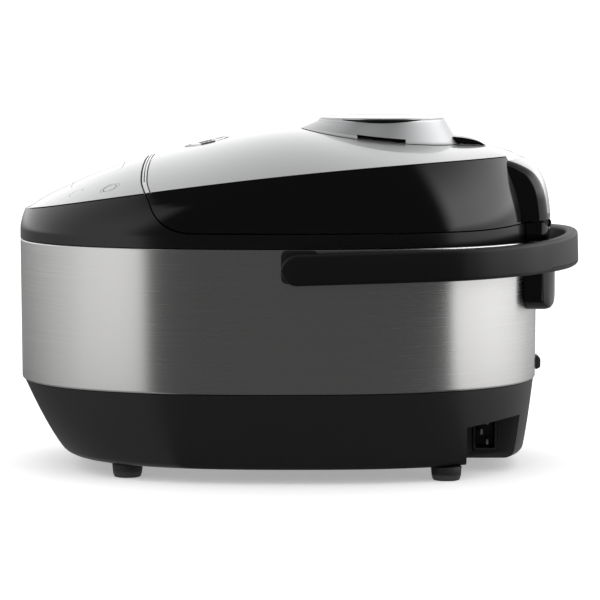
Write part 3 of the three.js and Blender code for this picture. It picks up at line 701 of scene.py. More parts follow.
def hump_ring(station, inset=0.0):
    half = HUMP_HALF - inset
    shrink = 1 - sum(share * abs(station) ** power for share, power in (HUMP_ARCH, HUMP_EDGE))
    over = max(0.0, 1 - (1 - abs(station)) * HUMP_HALF / HUMP_FILLET)
    rounding = HUMP_FILLET * (1 - math.sqrt(max(0.0, 1 - over * over)))
    ring = []
    for y, z in HUMP_PROFILE:
        place_y = HUMP_SHRINK_Y + (y - HUMP_SHRINK_Y) * shrink - inset
        place_z = WALL_TOP + (z - WALL_TOP) * shrink - inset
        centre = (HUMP_ROUND_Y, WALL_TOP)
        pull = 1 - rounding / math.dist((place_y, place_z), centre)
        ring.append((station * half, *between(centre, (place_y, place_z), pull)))
    return ring


HUMP_END = [1 - HUMP_FILLET / HUMP_HALF * (1 - math.sin(turn)) for turn in quarter(12)]
HUMP_STATIONS = [-station for station in reversed(HUMP_END)]
HUMP_STATIONS += [i / 30 for i in range(-26, 27)] + HUMP_END


def hump_envelope(inset):
    rings = []
    for station in HUMP_STATIONS:
        ring = hump_ring(station, inset)
        foot = (station * (HUMP_HALF - inset), 96.0, 160.0 - inset)
        rings.append([foot, *ring])
    return loft(rings)


upper_outer = upper_envelope(0, BAND_TOP + GAP)
upper_inner = upper_envelope(SHELL_WALL, BAND_TOP - 4)
hump_outer = hump_envelope(0)

wall_sheet = Sheet(
    [outline_ring(WALL, BAND_TOP), outline_ring(WALL, (BAND_TOP + WALL_TOP) / 2),
     outline_ring(WALL, WALL_TOP)] + [wall_ring(rise) for rise in WALL_RISES])
top_sheet = Sheet([top_ring(scale) for scale in [1.0] + TOP_SCALES])
hump_sheet = Sheet([hump_ring(station) for station in HUMP_STATIONS], closed=False)
body_sheets = (wall_sheet, top_sheet, hump_sheet)


def lowered(depth):
    return moved(upper_outer, 0, 0, -depth)


def above_edge(drop):
    """Everything above the line where silver meets black."""
    line = [(y, edge_height(y) - drop) for y in range(-200, 171, 5)]
    return prism_x([*line, (170, 300), (-200, 300)], -SIDE, SIDE)


def seam_plan(shift):
    """The seam seen from above: bowed across the dome, a little ahead at the sides."""
    half = [(SEAM_HALF * i / 14,
             SEAM_FRONT_Y + shift - SEAM_BACK + SEAM_BOW * (1 - i / 14) ** 1.6)
            for i in range(15)]
    return [(-x, y) for x, y in reversed(half[1:])] + half


def lid_region(inset, back=0.0):
    """Everything on the lid's side of the seam, its front line moved back if asked."""
    front = SEAM_FRONT_Y + inset + back
    seam = [(front - SEAM_BACK, 300)]
    seam += smooth_path([(front - SEAM_BACK, 206), (front - 1.6, 200), (front + 1, 194.5),
                         (front + 4.5, 188)], 4)
    seam += quad_curve((front + 4.5, 188), (front + 10.5, SEAM_Z + inset),
                       (front + 35, SEAM_Z + inset), 16)
    seam.append((105, SEAM_Z + inset))
    seam += quad_curve((105, SEAM_Z + inset), (135, SEAM_Z + inset), (156, 171.5 + inset), 10)
    seam += [(240, 176 + inset), (240, 300)]
    bow = seam_plan(inset + back)
    plan = [(-170, bow[0][1] - 0.01), *bow, (170, bow[-1][1] - 0.01), (170, 240), (-170, 240)]
    return common(prism_x(seam, -170, 170), prism_z(plan, 100, 310))


# ---- lower casing


def base_ring(level, inset, bottom, top):
    spread = level**BASE_FLARE
    low = max(0.0, 1 - level / BASE_ROUND_LEVEL)
    rounding = BASE_ROUND * (1 - math.sqrt(1 - low * low))
    ring = []
    for angle in plan_angles():
        foot = outline_point(BASE_FOOT, angle, inset + rounding)
        head = outline_point(BASE_TOP, angle, inset)
        ring.append((*between(foot, head, spread), bottom + (top - bottom) * level))
    return ring


BASE_LEVELS = [BASE_ROUND_LEVEL * (1 - math.cos(turn)) for turn in quarter(7)]
BASE_LEVELS += [0.14, 0.2, 0.27, 0.35, 0.45, 0.55, 0.65, 0.75, 0.85, 0.93, 1]


def base_envelope(inset, bottom, top):
    return loft([base_ring(level, inset, bottom, top) for level in BASE_LEVELS])


def inlet_recess(margin):
    low_x = box_mm("power_inlet")[1].x - 1.5
    (front, height), *behind = RECESS_ROOF
    points = [(front - margin, 0), (front - margin, height + margin)]
    points += [(y, z + margin) for y, z in behind]
    return prism_x([*points, (behind[-1][0], 0)], low_x - margin, 150)


def around_inlet(points):
    return [(INLET.y + a, INLET.z + b) for a, b in points]


def inlet_outline(margin):
    return around_inlet(rounded_rectangle(INLET_HALF_Y + margin, INLET_HALF_Z + margin, 2))


def base_shell():
    """Tapering lower casing with the recess for the power inlet at its rear corner."""
    top = BAND_BOTTOM - GAP
    shell = cut(base_envelope(0, BASE_BOTTOM, top),
                base_envelope(SHELL_WALL, BASE_BOTTOM + SHELL_WALL, BAND_BOTTOM + 1))
    pocket = common(inlet_recess(SHELL_WALL), base_envelope(0.2, BASE_BOTTOM, BAND_BOTTOM))
    shell = cut(joined(shell, pocket), inlet_recess(0))
    cover = middle("bottom_cover")
    cover_radius = box_mm("bottom_cover")[1].x
    shell = cut(shell, cylinder_z(0, cover.y, cover_radius + GAP, 0, 20, 96))
    shell = cut(shell, prism_x(inlet_outline(INLET_FIT), 40, 70))
    sheet = Sheet([base_ring(level, 0, BASE_BOTTOM, top) for level in BASE_LEVELS])
    renew("base_shell", bevelled(shell, 0.6, 2, 40), [sheet])


def bottom_cover():
    low, high = box_mm("bottom_cover")
    centre = middle("bottom_cover")
    cover = cylinder_z(0, centre.y, high.x, low.z, low.z + 2.4, 96)
    for slot in range(14):
        angle = TAU * slot / 14
        slit = moved(prism_z(rounded_rectangle(13, 2, 1.9), low.z - 5, low.z + 5), 46, 0, 0)
        slit = changed(slit, Matrix.Rotation(angle, 4, "Z"))
        cover = cut(cover, moved(slit, 0, centre.y, 0))
    renew("bottom_cover", bevelled(cover, 0.4))


def foot(node):
    place = middle(node)
    height = box_mm(node)[1].z
    profile = [(0, 0), *arc(8.0, 1.3, 1.3, -90, 0, 5), (9.9, 3.0), (10.4, height - 0.5),
               (10.1, height), (0, height)]
    renew(node, turned(place.x, place.y, profile, 56), crease=40)


def bottom_screw(node):
    low, high = box_mm(node)
    place = middle(node)
    radius = high.x - place.x
    head = turned(place.x, place.y, [
        (0, low.z), (radius * 0.6, low.z), (radius * 0.88, low.z + 0.35), (radius, low.z + 0.9),
        (radius, high.z), (0, high.z)], 32)
    for half_x, half_y in ((1.9, 0.35), (0.35, 1.9)):
        head = cut(head, block(place.x - half_x, place.x + half_x, place.y - half_y,
                               place.y + half_y, low.z - 1, low.z + 1))
    renew(node, head)


def band_rings():
    rings = []
    for turn in quarter(4):
        z = BAND_BOTTOM + BAND_FOLD_HEIGHT * (1 - math.cos(turn))
        rings.append(outline_ring(BAND_FOOT, z, BAND_FOLD * (1 - math.sin(turn))))
    low = BAND_BOTTOM + BAND_FOLD_HEIGHT
    for step in range(1, 9):
        z = low + (BAND_TOP - BAND_BEAD - low) * step / 8
        rings.append([
            (*between(outline_point(BAND_FOOT, a), outline_point(WALL, a), step / 8), z)
            for a in plan_angles()
        ])
    for turn in quarter(5)[1:]:
        rings.append(outline_ring(WALL, BAND_TOP - BAND_BEAD * (1 - math.sin(turn)),
                                  BAND_BEAD * (1 - math.cos(turn))))
    return rings


def pivot_hole():
    return cylinder_x(PIVOT_Y, PIVOT_Z, PIVOT_HOLE, 150)


def steel_band():
    """Brushed steel wrap with rolled edges, pierced for the handle pins."""
    inner = loft([outline_ring(BAND_FOOT, BAND_BOTTOM - 1, BAND_WALL),
                  outline_ring(WALL, BAND_TOP + 1, BAND_WALL)])
    band = cut(loft(band_rings()), inner, pivot_hole())
    renew("steel_band", band, [Sheet(band_rings())])


def wall_block(margin):
    return loft([outline_ring(BAND_FOOT, BAND_BOTTOM - 4, -margin),
                 outline_ring(WALL, BAND_TOP + 0.1, -margin)])


def rear_bumper():
    low, high = box_mm("rear_bumper")
    profile = [(low.y - 2, low.z), (high.y - 2.4, low.z + 0.6)]
    profile += arc(high.y - 2, low.z + 3, 2, -60, 0, 4)
    profile += arc(high.y - 2, high.z - 3, 2, 0, 60, 4)
    profile += [(high.y - 2.4, high.z - 0.6), (low.y - 2, high.z)]
    renew("rear_bumper", bevelled(cut(prism_x(profile, low.x, high.x), wall_block(GAP)), 0.8, 3))


# ---- upper housing, console

KEYS = ("start_key", "cancel_key", "menu_key", "time_key")


def key_radius(node):
    low, high = box_mm(node)
    return (high.x - low.x) / 2


def window_prism(margin):
    low, high = box_mm("display_window")
    half_x = (high.x - low.x) / 2 - margin
    half_y = (high.y - low.y) / 2 - margin
    outline = [(x, y + WINDOW.y) for x, y in rounded_rectangle(half_x, half_y, 4)]
    return prism_z(outline, CUT_LOW, CUT_HIGH)


def upper_housing():
    """Black upper casing: the console's front and sides, and the deck around the pot."""
    housing = cut(upper_outer, lid_region(0))
    housing = cut(housing, cut(above_edge(0.75), lowered(SKIN + GAP)))
    deck = wide_block(SIDE, -99, 190, 100, 164)
    console = wide_block(SIDE, -190, -102, 100, CUT_HIGH)
    hollow = common(common(upper_inner, lowered(HOUSING_WALL)), joined(deck, console))
    housing = cut(housing, hollow)
    housing = cut(housing, cylinder_z(0, POT_Y, POT_RADIUS + 5, 140, 175, 128),
                  cylinder_z(0, POT_Y, POT_RADIUS + 9.5, POT_RIM - 0.8, 175, 128),
                  window_prism(1.5))
    for key in KEYS:
        housing = cut(housing, shaft(middle(key), key_radius(key) + 0.6, 48))
    housing = cut(housing, wide_block(8, -108.9, -96.5, 175, 202))
    renew("upper_housing", housing, body_sheets, look=looks["upper_black"])


def silver_skin():
    return cut(common(upper_outer, above_edge(0)), lowered(SKIN))


def control_panel():
    """Silver lacquered skin of the sloping console."""
    panel = cut(silver_skin(), lid_region(-GAP), window_prism(-GAP))
    for key in KEYS:
        panel = cut(panel, shaft(middle(key), key_radius(key) + 0.25))
    renew("control_panel", panel, body_sheets)


def display_window():
    pane = cut(common(window_prism(0), upper_outer), lowered(SKIN))
    renew("display_window", pane, body_sheets)


def console_key(node):
    place = middle(node)
    radius = key_radius(node)
    cap = cut(common(shaft(place, radius), lowered(0.05)), lowered(3.2))
    if node == "start_key":
        groove = cut(shaft(place, radius * 0.78), shaft(place, radius * 0.78 - KEY_GROOVE))
        cap = cut(cap, cut(groove, lowered(1.2)))
    renew(node, cap, body_sheets, look=looks["silver_skin"])


# ---- pot and lid lining


def inner_pot():
    corner = (POT_RADIUS - POT_CORNER, POT_BOTTOM + POT_CORNER)
    outside = arc(*corner, POT_CORNER, -90, 0, 14)
    inside = arc(*corner, POT_CORNER - POT_WALL, 0, -90, 14)
    rim = [(POT_RADIUS, POT_RIM - 0.6), (POT_RADIUS + 8.2, POT_RIM - 0.3),
           *arc(POT_RADIUS + 8.3, POT_RIM + 0.5, 0.7, -80, 90, 5),
           *arc(POT_RADIUS + 0.2, POT_RIM - 0.6, 1.8, 90, 180, 6)]
    floor = [(0, POT_BOTTOM + POT_WALL), (0, POT_BOTTOM)]
    pot = turned(0, POT_Y, [floor[1], *outside, *rim, *inside, floor[0]], 160)
    renew("inner_pot", pot, crease=50)


def inner_lid():
    low, high = box_mm("inner_lid")
    outer = high.x
    hole_y = middle("steam_cap_core").y - 1.0
    plate = turned(0, POT_Y, [
        (0, low.z), (84, low.z), *arc(84, low.z + 3, 3, -90, -50, 4), (92, low.z + 3.4),
        (95.2, low.z + 8.4), (96.6, low.z + 9.1), (outer, low.z + 9.1), (outer, high.z),
        (95, high.z), (93.8, low.z + 9.4), (91, low.z + 4.3), (84, low.z + 1.3), (0, low.z + 1.3),
    ], 144)
    plate = cut(plate, cylinder_z(0, hole_y, 9, 150, 180))
    renew("inner_lid", plate, crease=35)
    gasket_low, gasket_high = box_mm("inner_lid_gasket")
    inner = gasket_high.x - 13.5
    gasket = turned(0, POT_Y, [
        (inner, gasket_low.z + 0.4), (inner + 4, gasket_low.z), (inner + 8.5, gasket_low.z + 0.1),
        (inner + 12.8, gasket_low.z + 0.5), (gasket_high.x, gasket_low.z + 1),
        (gasket_high.x, gasket_high.z), (inner, gasket_high.z)], 144)
    renew("inner_lid_gasket", gasket, crease=60)


# ---- lid


def above_hump():
    line = smooth_path([(124, 222.6), (136, 220.6), (147, 216.9), (155, 213.4), (163, 208.5),
                        (190, 190)], 6)
    return prism_x([*line, (190, 300), (124, 300)], -SIDE, SIDE)


lid_outer = common(joined(cut(upper_outer, above_hump()), hump_outer), lid_region(LID_GAP))
TONGUE = HUMP_HALF - 7.6
silver_region = joined(above_edge(0), wide_block(TONGUE, 126, 200, 177, CUT_HIGH))
silver_seat = joined(above_edge(0.7),
                     wide_block(TONGUE + GAP, 126 - GAP, 200, 177 - GAP, CUT_HIGH))


def skin_inside(depth):
    return joined(lowered(depth),
                  moved(hump_envelope(depth * 0.3), 0, -depth * 0.7, -depth * 0.7))


def steam_hole(radius):
    return shaft(Vector((0, CAP_Y, 0)), radius)


def button_prism(margin):
    ring = [((BUTTON_HALF_X - margin) * math.cos(a),
             BUTTON.y + (BUTTON_HALF_Y - margin) * math.sin(a)) for a in plan_angles(72)]
    return prism_z(ring, CUT_LOW, CUT_HIGH)


def lid_body():
    """Gloss black lid shell: the side walls, the hump's flanks and the underside."""
    body = cut(lid_outer, cut(silver_seat, skin_inside(SKIN + GAP)))
    slab = cut(wide_block(SIDE, -110, 0, CUT_LOW, CUT_HIGH),
               lid_region(LID_GAP, TRIM_WIDTH + GAP))
    body = cut(body, cut(common(slab, above_edge(GAP)), lowered(3)))
    hollow = cut(upper_inner, wide_block(SIDE, -200, -97, 100, 300))
    hollow = common(hollow, lowered(LID_WALL))
    hump_hollow = common(hump_envelope(3), wide_block(70, 120, 190, 100, 215))
    body = cut(body, joined(hollow, moved(hump_hollow, 0, -1.2, -1.2)))
    body = cut(body, steam_hole(20), button_prism(1.2),
               cylinder_x(HINGE_Y, HINGE_Z, BARREL_RADIUS, BARREL_REACH),
               wide_block(5.5, -106, -96, 187.5, 195.5))
    renew("lid_body", body, body_sheets)


def lid_cover():
    """Silver lacquered skin over the dome and the hump."""
    cover = cut(common(lid_outer, silver_region), skin_inside(SKIN))
    cover = common(cover, lid_region(LID_GAP, TRIM_WIDTH + 0.95))
    cover = cut(cover, steam_hole(20), button_prism(-0.75))
    renew("lid_cover", cover, body_sheets)


def lid_trim():
    strip = cut(common(lid_outer, above_edge(0)), lid_region(LID_GAP, TRIM_WIDTH), lowered(2.4))
    groove = common(cut(lid_region(LID_GAP, 1.0), lid_region(LID_GAP, 1.8)),
                    wide_block(90, -120, 0, CUT_LOW, CUT_HIGH))
    renew("lid_trim", cut(strip, groove), body_sheets)


def release_button():
    ring = cut(button_prism(0), button_prism(2))
    ring = cut(common(ring, lowered(-0.9)), lowered(1.2))
    renew("button_ring", ring, body_sheets)
    cap = cut(common(button_prism(2.6), lowered(BUTTON_FLOOR)), lowered(3.6))
    slope = (top_height(0, BUTTON.y + 5) - top_height(0, BUTTON.y - 5)) / 10
    ball = turned(0, 0, [*arc(0, DISH_RADIUS - 1.7, DISH_RADIUS, -90, -60, 12), (0, 40)], 96)
    ball = changed(ball, Matrix.Rotation(math.atan(slope), 4, "X"))
    cap = cut(cap, moved(ball, 0, BUTTON.y, top_height(0, BUTTON.y) - BUTTON_FLOOR))
    stem = cylinder_z(0, BUTTON.y, 4, 208, 222)
    renew("release_button", joined(cap, stem), body_sheets)


def lid_liner():
    low, high = box_mm("lid_liner")
    plate = common(upper_envelope(SHELL_WALL + GAP, 150),
                   wide_block(SIDE, low.y, high.y, low.z, high.z))
    plate = common(plate, lid_region(1))
    plate = cut(plate, cylinder_z(0, POT_Y, LID_OPENING, 150, 190, 128))
    renew("lid_liner", plate)


# ---- hinge


def hinge_block():
    """Fixed hinge knuckles on a curved ledge behind the lid."""
    profile = [(150, 158.9), (169, 158.9), *arc(170.2, 162, 3, -80, 0, 5),
               *arc(170.6, 168.4, 2.6, 0, 90, 5), (150, 171)]
    ledge = prism_x(profile, -62, 62)
    plan = [(-62, 140), (62, 140), (62, 163)]
    plan += quad_curve((62, 163), (61, 168.5), (50, 169.8))
    plan += quad_curve((50, 169.8), (0, 177.2), (-50, 169.8), 16)
    plan += quad_curve((-50, 169.8), (-61, 168.5), (-62, 163))
    piece = common(ledge, prism_z(plan, 150, 180))
    piece = cut(piece, cylinder_x(HINGE_Y, HINGE_Z, BARREL_RADIUS, BARREL_REACH),
                wide_block(BARREL_REACH, HINGE_Y - BARREL_RADIUS, 190, HINGE_Z, 190),
                prism_x([(166, 171.5), (172, 165), (190, 165), (190, 190), (166, 190)], -70, 70))
    for place_x in (-KNUCKLE_X, KNUCKLE_X):
        knuckle = joined(cylinder_x(HINGE_Y, HINGE_Z, KNUCKLE_RADIUS, KNUCKLE_HALF),
                         wide_block(KNUCKLE_HALF, 160, HINGE_Y, 160, HINGE_Z - 3))
        piece = joined(piece, moved(knuckle, place_x, 0, 0))
    piece = joined(piece, wide_block(60, 157.5, 161.5, 168, 172.2))
    piece = cut(piece, cut(upper_envelope(-GAP, 100), lid_region(0)))
    piece = cut(piece, cylinder_x(HINGE_Y, HINGE_Z, HINGE_PIN_BORE, BARREL_REACH))
    renew("hinge_block", piece)


# ---- steam vent cap


def cap_rings(inset, steps=128):
    def wall_point(angle, amount):
        foot_radius = CAP_FOOT_RADIUS - inset
        top_radius = CAP_TOP_RADIUS - inset
        foot_radius += CAP_LIP * max(0.0, 1 - max(amount, 0) / CAP_LIP_RISE) ** 2
        y_at = CAP_Y + CAP_FOOT_RADIUS * math.sin(angle)
        foot = (foot_radius * math.cos(angle), CAP_Y + foot_radius * math.sin(angle),
                crown_height(y_at) - 3.4 * math.cos(angle) ** 2 + 0.3)
        top = (top_radius * math.cos(angle), CAP_MID_Y + top_radius * math.sin(angle),
               CAP_Z - CAP_SHOULDER - inset)
        return between(foot, top, amount)

    amounts = [-0.8, -0.4, 0, 0.03, 0.06, 0.09, 0.12, 0.25, 0.5, 0.75, 1]
    rings = [[wall_point(TAU * i / steps, amount) for i in range(steps)] for amount in amounts]
    for turn in quarter(5)[1:]:
        radius = CAP_TOP_RADIUS - 1.2 * (1 - math.cos(turn)) - inset
        z = CAP_Z - CAP_SHOULDER - inset + 1.6 * math.sin(turn)
        rings.append([(x, y, z) for x, y in circle(radius, steps, 0, CAP_MID_Y)])
    return rings


def lens(low_y, high_y, low_z, sag, thickness, from_x, to_x):
    points = [(low_y + (high_y - low_y) * i / 24, low_z - sag * math.sin(math.pi * i / 24))
              for i in range(25)]
    return prism_x([*points, (high_y, low_z + thickness), (low_y, low_z + thickness)],
                   from_x, to_x)


def steam_cap():
    """Lift-off vent cap: flared wall with side slots, black core, domed disc and a tab."""
    dome = lowered(-GAP)
    shell = cut(loft(cap_rings(0)), loft(cap_rings(2.2)), dome,
                cylinder_z(0, CAP_MID_Y, CAP_TOP_RADIUS - 4, 200, CUT_HIGH, 128))
    for low, high in ((30, 70), (-70, -30)):
        shell = cut(shell, lens(CAP_Y - 27, CAP_Y + 27, CAP_Z - 0.5, 1.9, 3, low, high),
                    common(lowered(-2.6), block(low, high, 39, 72, 200, 240)))
    renew("steam_cap_shell", shell, [Sheet(cap_rings(0))])
    radius = disc_high.x
    disc = turned(0, CAP_MID_Y, [
        (0, CAP_Z), (radius, CAP_Z), *arc(radius - 0.6, CAP_Z + 0.4, 0.6, 0, 90, 5),
        (30, CAP_Z + 1.7), (14, CAP_Z + 2.1), (0, CAP_Z + 2.2)], 144)
    renew("steam_cap_disc", disc, crease=35)
    core = turned(0, CAP_MID_Y, [
        (11, 224.6), (34, 224.6), (38.5, 234), (38.5, CAP_Z - GAP), (11, CAP_Z - GAP)], 128)
    renew("steam_cap_core", cut(core, dome))
    slope = smooth_path([(130, 221.2), (124, 224.6), (116, 226.8), (108, 227.8), (100, 228)], 5)
    tab = prism_x([(100, 215), (130, 215), *slope], -15, 15)
    tab = cut(tab, loft(cap_rings(-GAP)), dome)
    renew("steam_cap_tab", tab)


# ---- condensate collector


def collector_block(inset):
    low = COLLECTOR_LOW.z + inset
    top = COLLECTOR_HIGH.z + inset * 2
    bend = COLLECTOR_ROUND
    side = [(145, top), (145, low), (162, low),
            *arc(164.5 - inset, low + bend, bend, -90, 0, 12), (177.3 - inset, top)]
    half = COLLECTOR_HIGH.x - inset
    plan = [(-half, 140), (half, 140), (half, 160)]
    plan += quad_curve((half, 160), (half - 1, 170 - inset), (half - 14, 173.5 - inset), 12)
    plan += quad_curve((half - 14, 173.5 - inset), (0, 181 - inset), (14 - half, 173.5 - inset),
                       24)
    plan += quad_curve((14 - half, 173.5 - inset), (1 - half, 170 - inset), (-half, 160), 12)
    ends = [(-half, top), *arc(bend - half, low + bend, bend, 180, 270),
            *arc(half - bend, low + bend, bend, -90, 0), (half, top)]
    across = loft([[(x, y, z) for x, z in ends] for y in (130, 200)])
    return common(prism_x(side, -80, 80), prism_z(plan, 90, 190), across)


def condensate_collector():
    cup = cut(collector_block(0), wall_block(GAP))
    cup = cut(cup, cut(collector_block(COLLECTOR_WALL), wall_block(GAP + COLLECTOR_WALL)))
    renew("condensate_collector", bevelled(cup, 0.5, 2, 40))


# ---- power inlet


def power_inlet():
    face = box_mm("power_inlet")[1].x
    flange = prism_x(inlet_outline(0), face - INLET_DEPTH, face)
    outline = [(-6, -10.6), (6.6, -10.6), (6.6, 10.6), (-6, 10.6), (-6.8, 7), (-6.8, -7)]
    mouth = prism_x(around_inlet(outline), face - INLET_MOUTH_DEPTH, face + 3)
    renew("power_inlet", bevelled(cut(flange, mouth), 0.5, 2))
    for node in ("inlet_pin_live", "inlet_pin_neutral", "inlet_pin_earth"):
        low, high = box_mm(node)
        pin = block(low.x, high.x, low.y, high.y, low.z, high.z)
        renew(node, bevelled(pin, 0.45, 3), look=looks["plain_steel"])


# ---- carrying handle


def handle_plan():
    half = [(146, -14), (146, 30), (145.9, 60), (144.2, 97), (140, 114), (131, 131),
            (116, 150.5), (99, 164.6), (80, 176.8), (58, 185.6), (30, 191.6), (0, 193.8)]
    return half + [(-x, y) for x, y in reversed(half[:-1])]


def handle_body():
    """The bail as one swept solid: a rounded bar whose ends are round about the pivots."""
    path = [np.array(point) for point in smooth_path(handle_plan(), 10)]
    stations = []
    for i, point in enumerate(path):
        if point[1] <= HANDLE_END_Y:
            continue
        after = path[min(i + 1, len(path) - 1)]
        before = path[max(i - 1, 0)]
        along = (after - before) / np.linalg.norm(after - before)
        rise = GRIP_RISE * min(1, max(0, point[1] - GRIP_RISE_FROM) / GRIP_RISE_LENGTH) ** 2
        stations.append((point, np.array([-along[1], along[0]]), -HANDLE_HALF,
                         HANDLE_HALF + rise))
    ends = []
    for turn in quarter(14):
        half = max(HANDLE_HALF * math.sin(turn), 0.3)
        ends.append((HANDLE_END_Y - HANDLE_HALF * math.cos(turn), half))
    side = path[0][0]
    right = [(np.array([side, y]), np.array([-1, 0]), -half, half) for y, half in ends]
    left = [(np.array([-side, y]), np.array([1, 0]), -half, half) for y, half in reversed(ends)]
    return loft([handle_section(*station) for station in right + stations + left])


def handle_section(point, inward, low, high):
    half = (high - low) / 2
    middle_z = (high + low) / 2
    radius = min(2.6, half * 0.95)
    ring = []
    for a, b in rounded_rectangle(HANDLE_THICK / 2, half, radius, 5):
        place = point + inward * (HANDLE_THICK / 2 - a)
        ring.append((place[0], place[1], middle_z + b))
    return ring


def handle_turned(mesh):
    turn = Matrix.Rotation(HANDLE_TILT, 4, "X")
    return changed(mesh, Matrix.Translation((0, PIVOT_Y, PIVOT_Z)) @ turn)


def handle():
    bar = handle_body()
    low = -HANDLE_HALF - 1
    high = GRIP_HEIGHT - HANDLE_HALF
    seat = wide_block(GRIP_HALF + GAP, 150, 220, low, high)
    under = wide_block(GRIP_HALF, 150, 220, low, high - GAP)
    bail = cut(bar, seat, cylinder_x(0, 0, HANDLE_PIN_BORE, 142))
    renew("handle_bail", handle_turned(bail), crease=32)
    renew("handle_grip", handle_turned(common(bar, under)), crease=32)
    for node, side in (("handle_plate_right", 1), ("handle_plate_left", -1)):
        square = [(PIVOT_Y + a, PIVOT_Z + PLATE_ABOVE_PIVOT + b)
                  for a, b in rounded_rectangle(PLATE_HALF_Y, PLATE_HALF_Z, 4)]
        outer = box_mm(node)[1].x if side > 0 else box_mm(node)[0].x
        plate = prism_x(square, min(side * 130, outer), max(side * 130, outer))
        plate = cut(plate, wall_block(GAP), pivot_hole())
        renew(node, bevelled(plate, 0.6, 3))


# ---- assembly

base_shell()
bottom_cover()
for corner_name in ("front_left", "front_right", "rear_left", "rear_right"):
    foot(f"foot_{corner_name}")
for number in range(1, 5):
    bottom_screw(f"bottom_screw_{number}")
steel_band()
rear_bumper()
upper_housing()
control_panel()
display_window()
for key_node in KEYS:
    console_key(key_node)
inner_pot()
inner_lid()
lid_body()
lid_cover()
lid_trim()
release_button()
lid_liner()
hinge_block()
steam_cap()
condensate_collector()
power_inlet()
handle()

for node_name, node_object in frame["nodes"].items():
    if not node_object.hide_render:
        node_object.data.materials.clear()
        node_object.data.materials.append(looks[node_slot[node_name]])


# ---- stage, light, camera

CAMERA_PLACE = (2.25, 0, 0.3117)
CAMERA_AIM = (0, 0, 0.1131)
CAMERA_LENS = 193.6
SENSOR_WIDTH = 36
WORLD_STRENGTH = 1.05
TOP_LIGHT_POWER = 6
FLOOR_EMISSION = 0.35
TENT_RADIUS = 3.0
TENT_LEVELS = 45
TENT_COLUMNS = 360
TENT_EYE_Z = 0.11  # the tent's glow is worked out as seen from this height
CARD_FRONT = -36.5  # the dark card's edges, in degrees around the cooker from +X
CARD_REAR = 55.0
CARD_TOP = 78.0
CARD_GLOW = 0.075
CARD_SOFT = 1  # softness of the card's sides and of its top, in degrees
CARD_TOP_SOFT = 5
# Stretches in degrees, up from the floor or around the cooker, over which the glow changes.
FLOOR_RISE = (-17, -9)
FAR_RISE = (-2, 8)
CARD_WIDENS = (8, 14)
TOP_RISE = (25, 60)
CARD_OPENS = (56, 68)
FAR_TURN = (60, 125)
REAR_SIDE_TURN = (120, 145)
FLOOR_GLOW = 0.32  # what is left of the glow towards the floor
REAR_SIDE_GLOW = 1.2  # what the rear side gets on top, above the card's wider part
# Brightness of the tent near the floor, by degrees around the cooker from +X.
RING_GLOW = [(-180, 0.3), (-165, 0.22), (-125, 0.3), (-104, 0.42), (-83, 0.64), (-67, 0.84),
             (-52, 0.9), (-38, 0.9), (0, 0.9), (55, 1.0), (85, 1.12), (106, 0.98), (131, 0.62),
             (160, 0.36), (180, 0.3)]
# Brightness of the tent on the far side, by degrees above the floor.
FAR_GLOW = [(-90, 1.0), (0, 1.35), (14, 1.3), (30, 1.0), (45, 0.72), (60, 0.55), (68, 0.4),
            (90, 0.39)]


def ramp(stops, x):
    return float(np.interp(x, [stop[0] for stop in stops], [stop[1] for stop in stops]))


def smooth_step(low, high, x):
    t = min(max((x - low) / (high - low), 0.0), 1.0)
    return t * t * (3 - 2 * t)


def tent_glow(point):
    """How bright the tent is at a point, seen from the middle of the cooker."""
    x, y, z = point
    azimuth = math.degrees(math.atan2(y, x))
    elevation = math.degrees(math.atan2(z - TENT_EYE_Z, math.hypot(x, y)))
    farness = smooth_step(*FAR_TURN, abs(azimuth)) * smooth_step(*FAR_RISE, elevation)
    high = smooth_step(*TOP_RISE, elevation)
    glow = ramp(RING_GLOW, azimuth) * (1 - farness) + ramp(FAR_GLOW, elevation) * farness
    glow = glow * (1 - high) + ramp(FAR_GLOW, elevation) * high
    glow *= FLOOR_GLOW + (1 - FLOOR_GLOW) * smooth_step(*FLOOR_RISE, elevation)
    raised = smooth_step(*CARD_WIDENS, elevation)
    if azimuth > 0:
        beside = 1 - smooth_step(*REAR_SIDE_TURN, azimuth)
        glow *= 1 + REAR_SIDE_GLOW * raised * beside * (1 - high)
    # Up high the card's front edge swings forward, and its edges grow softer.
    steep = smooth_step(*CARD_OPENS, elevation)
    inside = smooth_step(CARD_FRONT - CARD_SOFT - 10 * raised - 110 * steep,
                         CARD_FRONT + CARD_SOFT - 95 * steep, azimuth)
    inside *= 1 - smooth_step(CARD_REAR - CARD_SOFT - 3 * raised,
                              CARD_REAR + CARD_SOFT + 5 * raised, azimuth)
    inside *= 1 - smooth_step(CARD_TOP - CARD_TOP_SOFT, CARD_TOP + CARD_TOP_SOFT, elevation)
    return glow * (1 - inside) + CARD_GLOW * inside


def stage_floor():
    material = surface_look("pale_floor", (0.93, 0.93, 0.93), (0.92, 0.92, 0.92), 3, 0.9,
                            spread=0.02)
    shader = material.node_tree.nodes["Principled BSDF"]
    set_inputs(shader, Emission_Color=(1, 1, 1, 1), Emission_Strength=FLOOR_EMISSION)
    mesh = bpy.data.meshes.new("floor")
    mesh.from_pydata([(x, y, 0) for x, y in circle(6.0, 64)], [], [tuple(range(64))])
    mesh.materials.append(material)
    item = as_object(mesh, "floor")


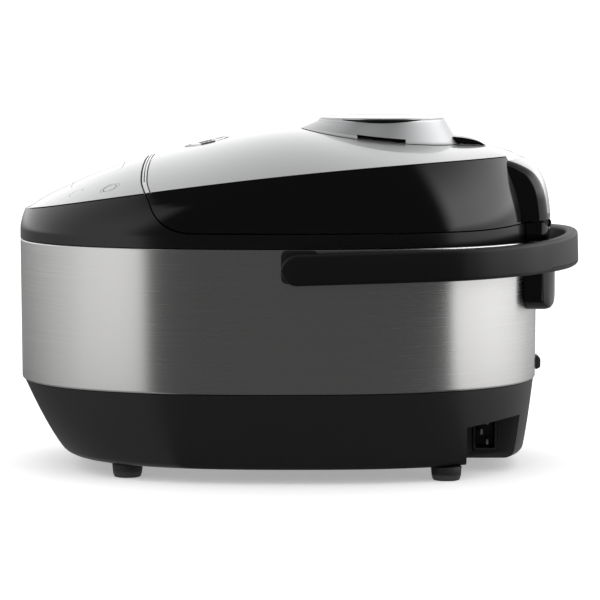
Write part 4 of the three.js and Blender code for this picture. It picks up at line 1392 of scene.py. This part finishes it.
def stage_tent():
    """A light tent with one dark card in it. Only mirror-like reflections see it."""
    material = bpy.data.materials.new("light_tent")
    material.use_nodes = True
    material.cycles.emission_sampling = "NONE"
    tree = material.node_tree
    tree.nodes.clear()
    glow = new_node(tree, "Attribute")
    glow.attribute_name = "glow"
    emission = new_node(tree, "Emission")
    output = new_node(tree, "OutputMaterial")
    tree.links.new(glow.outputs["Fac"], emission.inputs["Strength"])
    tree.links.new(emission.outputs["Emission"], output.inputs["Surface"])
    profile = [(reach, 0.004) for reach in (0.02, 0.1, 0.2, 0.4, 0.8, 1.3, 1.8, 2.4, 2.8)]
    for level in range(TENT_LEVELS + 1):
        elevation = math.radians(89.5 * level / TENT_LEVELS)
        profile.append((TENT_RADIUS * math.cos(elevation),
                        0.01 + TENT_RADIUS * math.sin(elevation)))
    vertices = [(x, y, z) for reach, z in profile for x, y in circle(reach, TENT_COLUMNS)]
    mesh = bpy.data.meshes.new("light_tent")
    mesh.from_pydata(vertices, [], grid_faces(len(profile), TENT_COLUMNS))
    values = mesh.attributes.new("glow", "FLOAT", "POINT")
    values.data.foreach_set("value", [tent_glow(point) for point in vertices])
    mesh.materials.append(material)
    item = as_object(mesh, "light_tent")
    item.visible_camera = False
    item.visible_diffuse = False
    item.visible_shadow = False


def softbox(name, place, aim, width, height, power):
    data = bpy.data.lights.new(name, "AREA")
    data.shape = "RECTANGLE"
    data.size = width
    data.size_y = height
    data.energy = power
    item = as_object(data, name)
    item.location = place
    item.rotation_euler = (Vector(aim) - Vector(place)).to_track_quat("-Z", "Y").to_euler()
    item.visible_camera = False
    item.visible_glossy = False


def world_light():
    world = bpy.data.worlds.new("studio")
    world.use_nodes = True
    background = world.node_tree.nodes["Background"]
    set_inputs(background, Color=(1, 1, 1, 1), Strength=WORLD_STRENGTH)
    world.cycles.sampling_method = "NONE"
    bpy.context.scene.world = world


def camera():
    data = bpy.data.cameras.new("camera")
    data.lens = CAMERA_LENS
    data.sensor_width = SENSOR_WIDTH
    item = as_object(data, "camera")
    item.location = CAMERA_PLACE
    item.rotation_euler = (Vector(CAMERA_AIM) - item.location).to_track_quat("-Z", "Y").to_euler()
    bpy.context.scene.camera = item


stage_floor()
stage_tent()
world_light()
softbox("top_light", (-0.3, 0, 2.4), (0, 0, 0), 2.2, 2.2, TOP_LIGHT_POWER)
camera()
bpy.context.scene.view_settings.view_transform = "Standard"
bpy.context.scene.view_settings.look = "None"
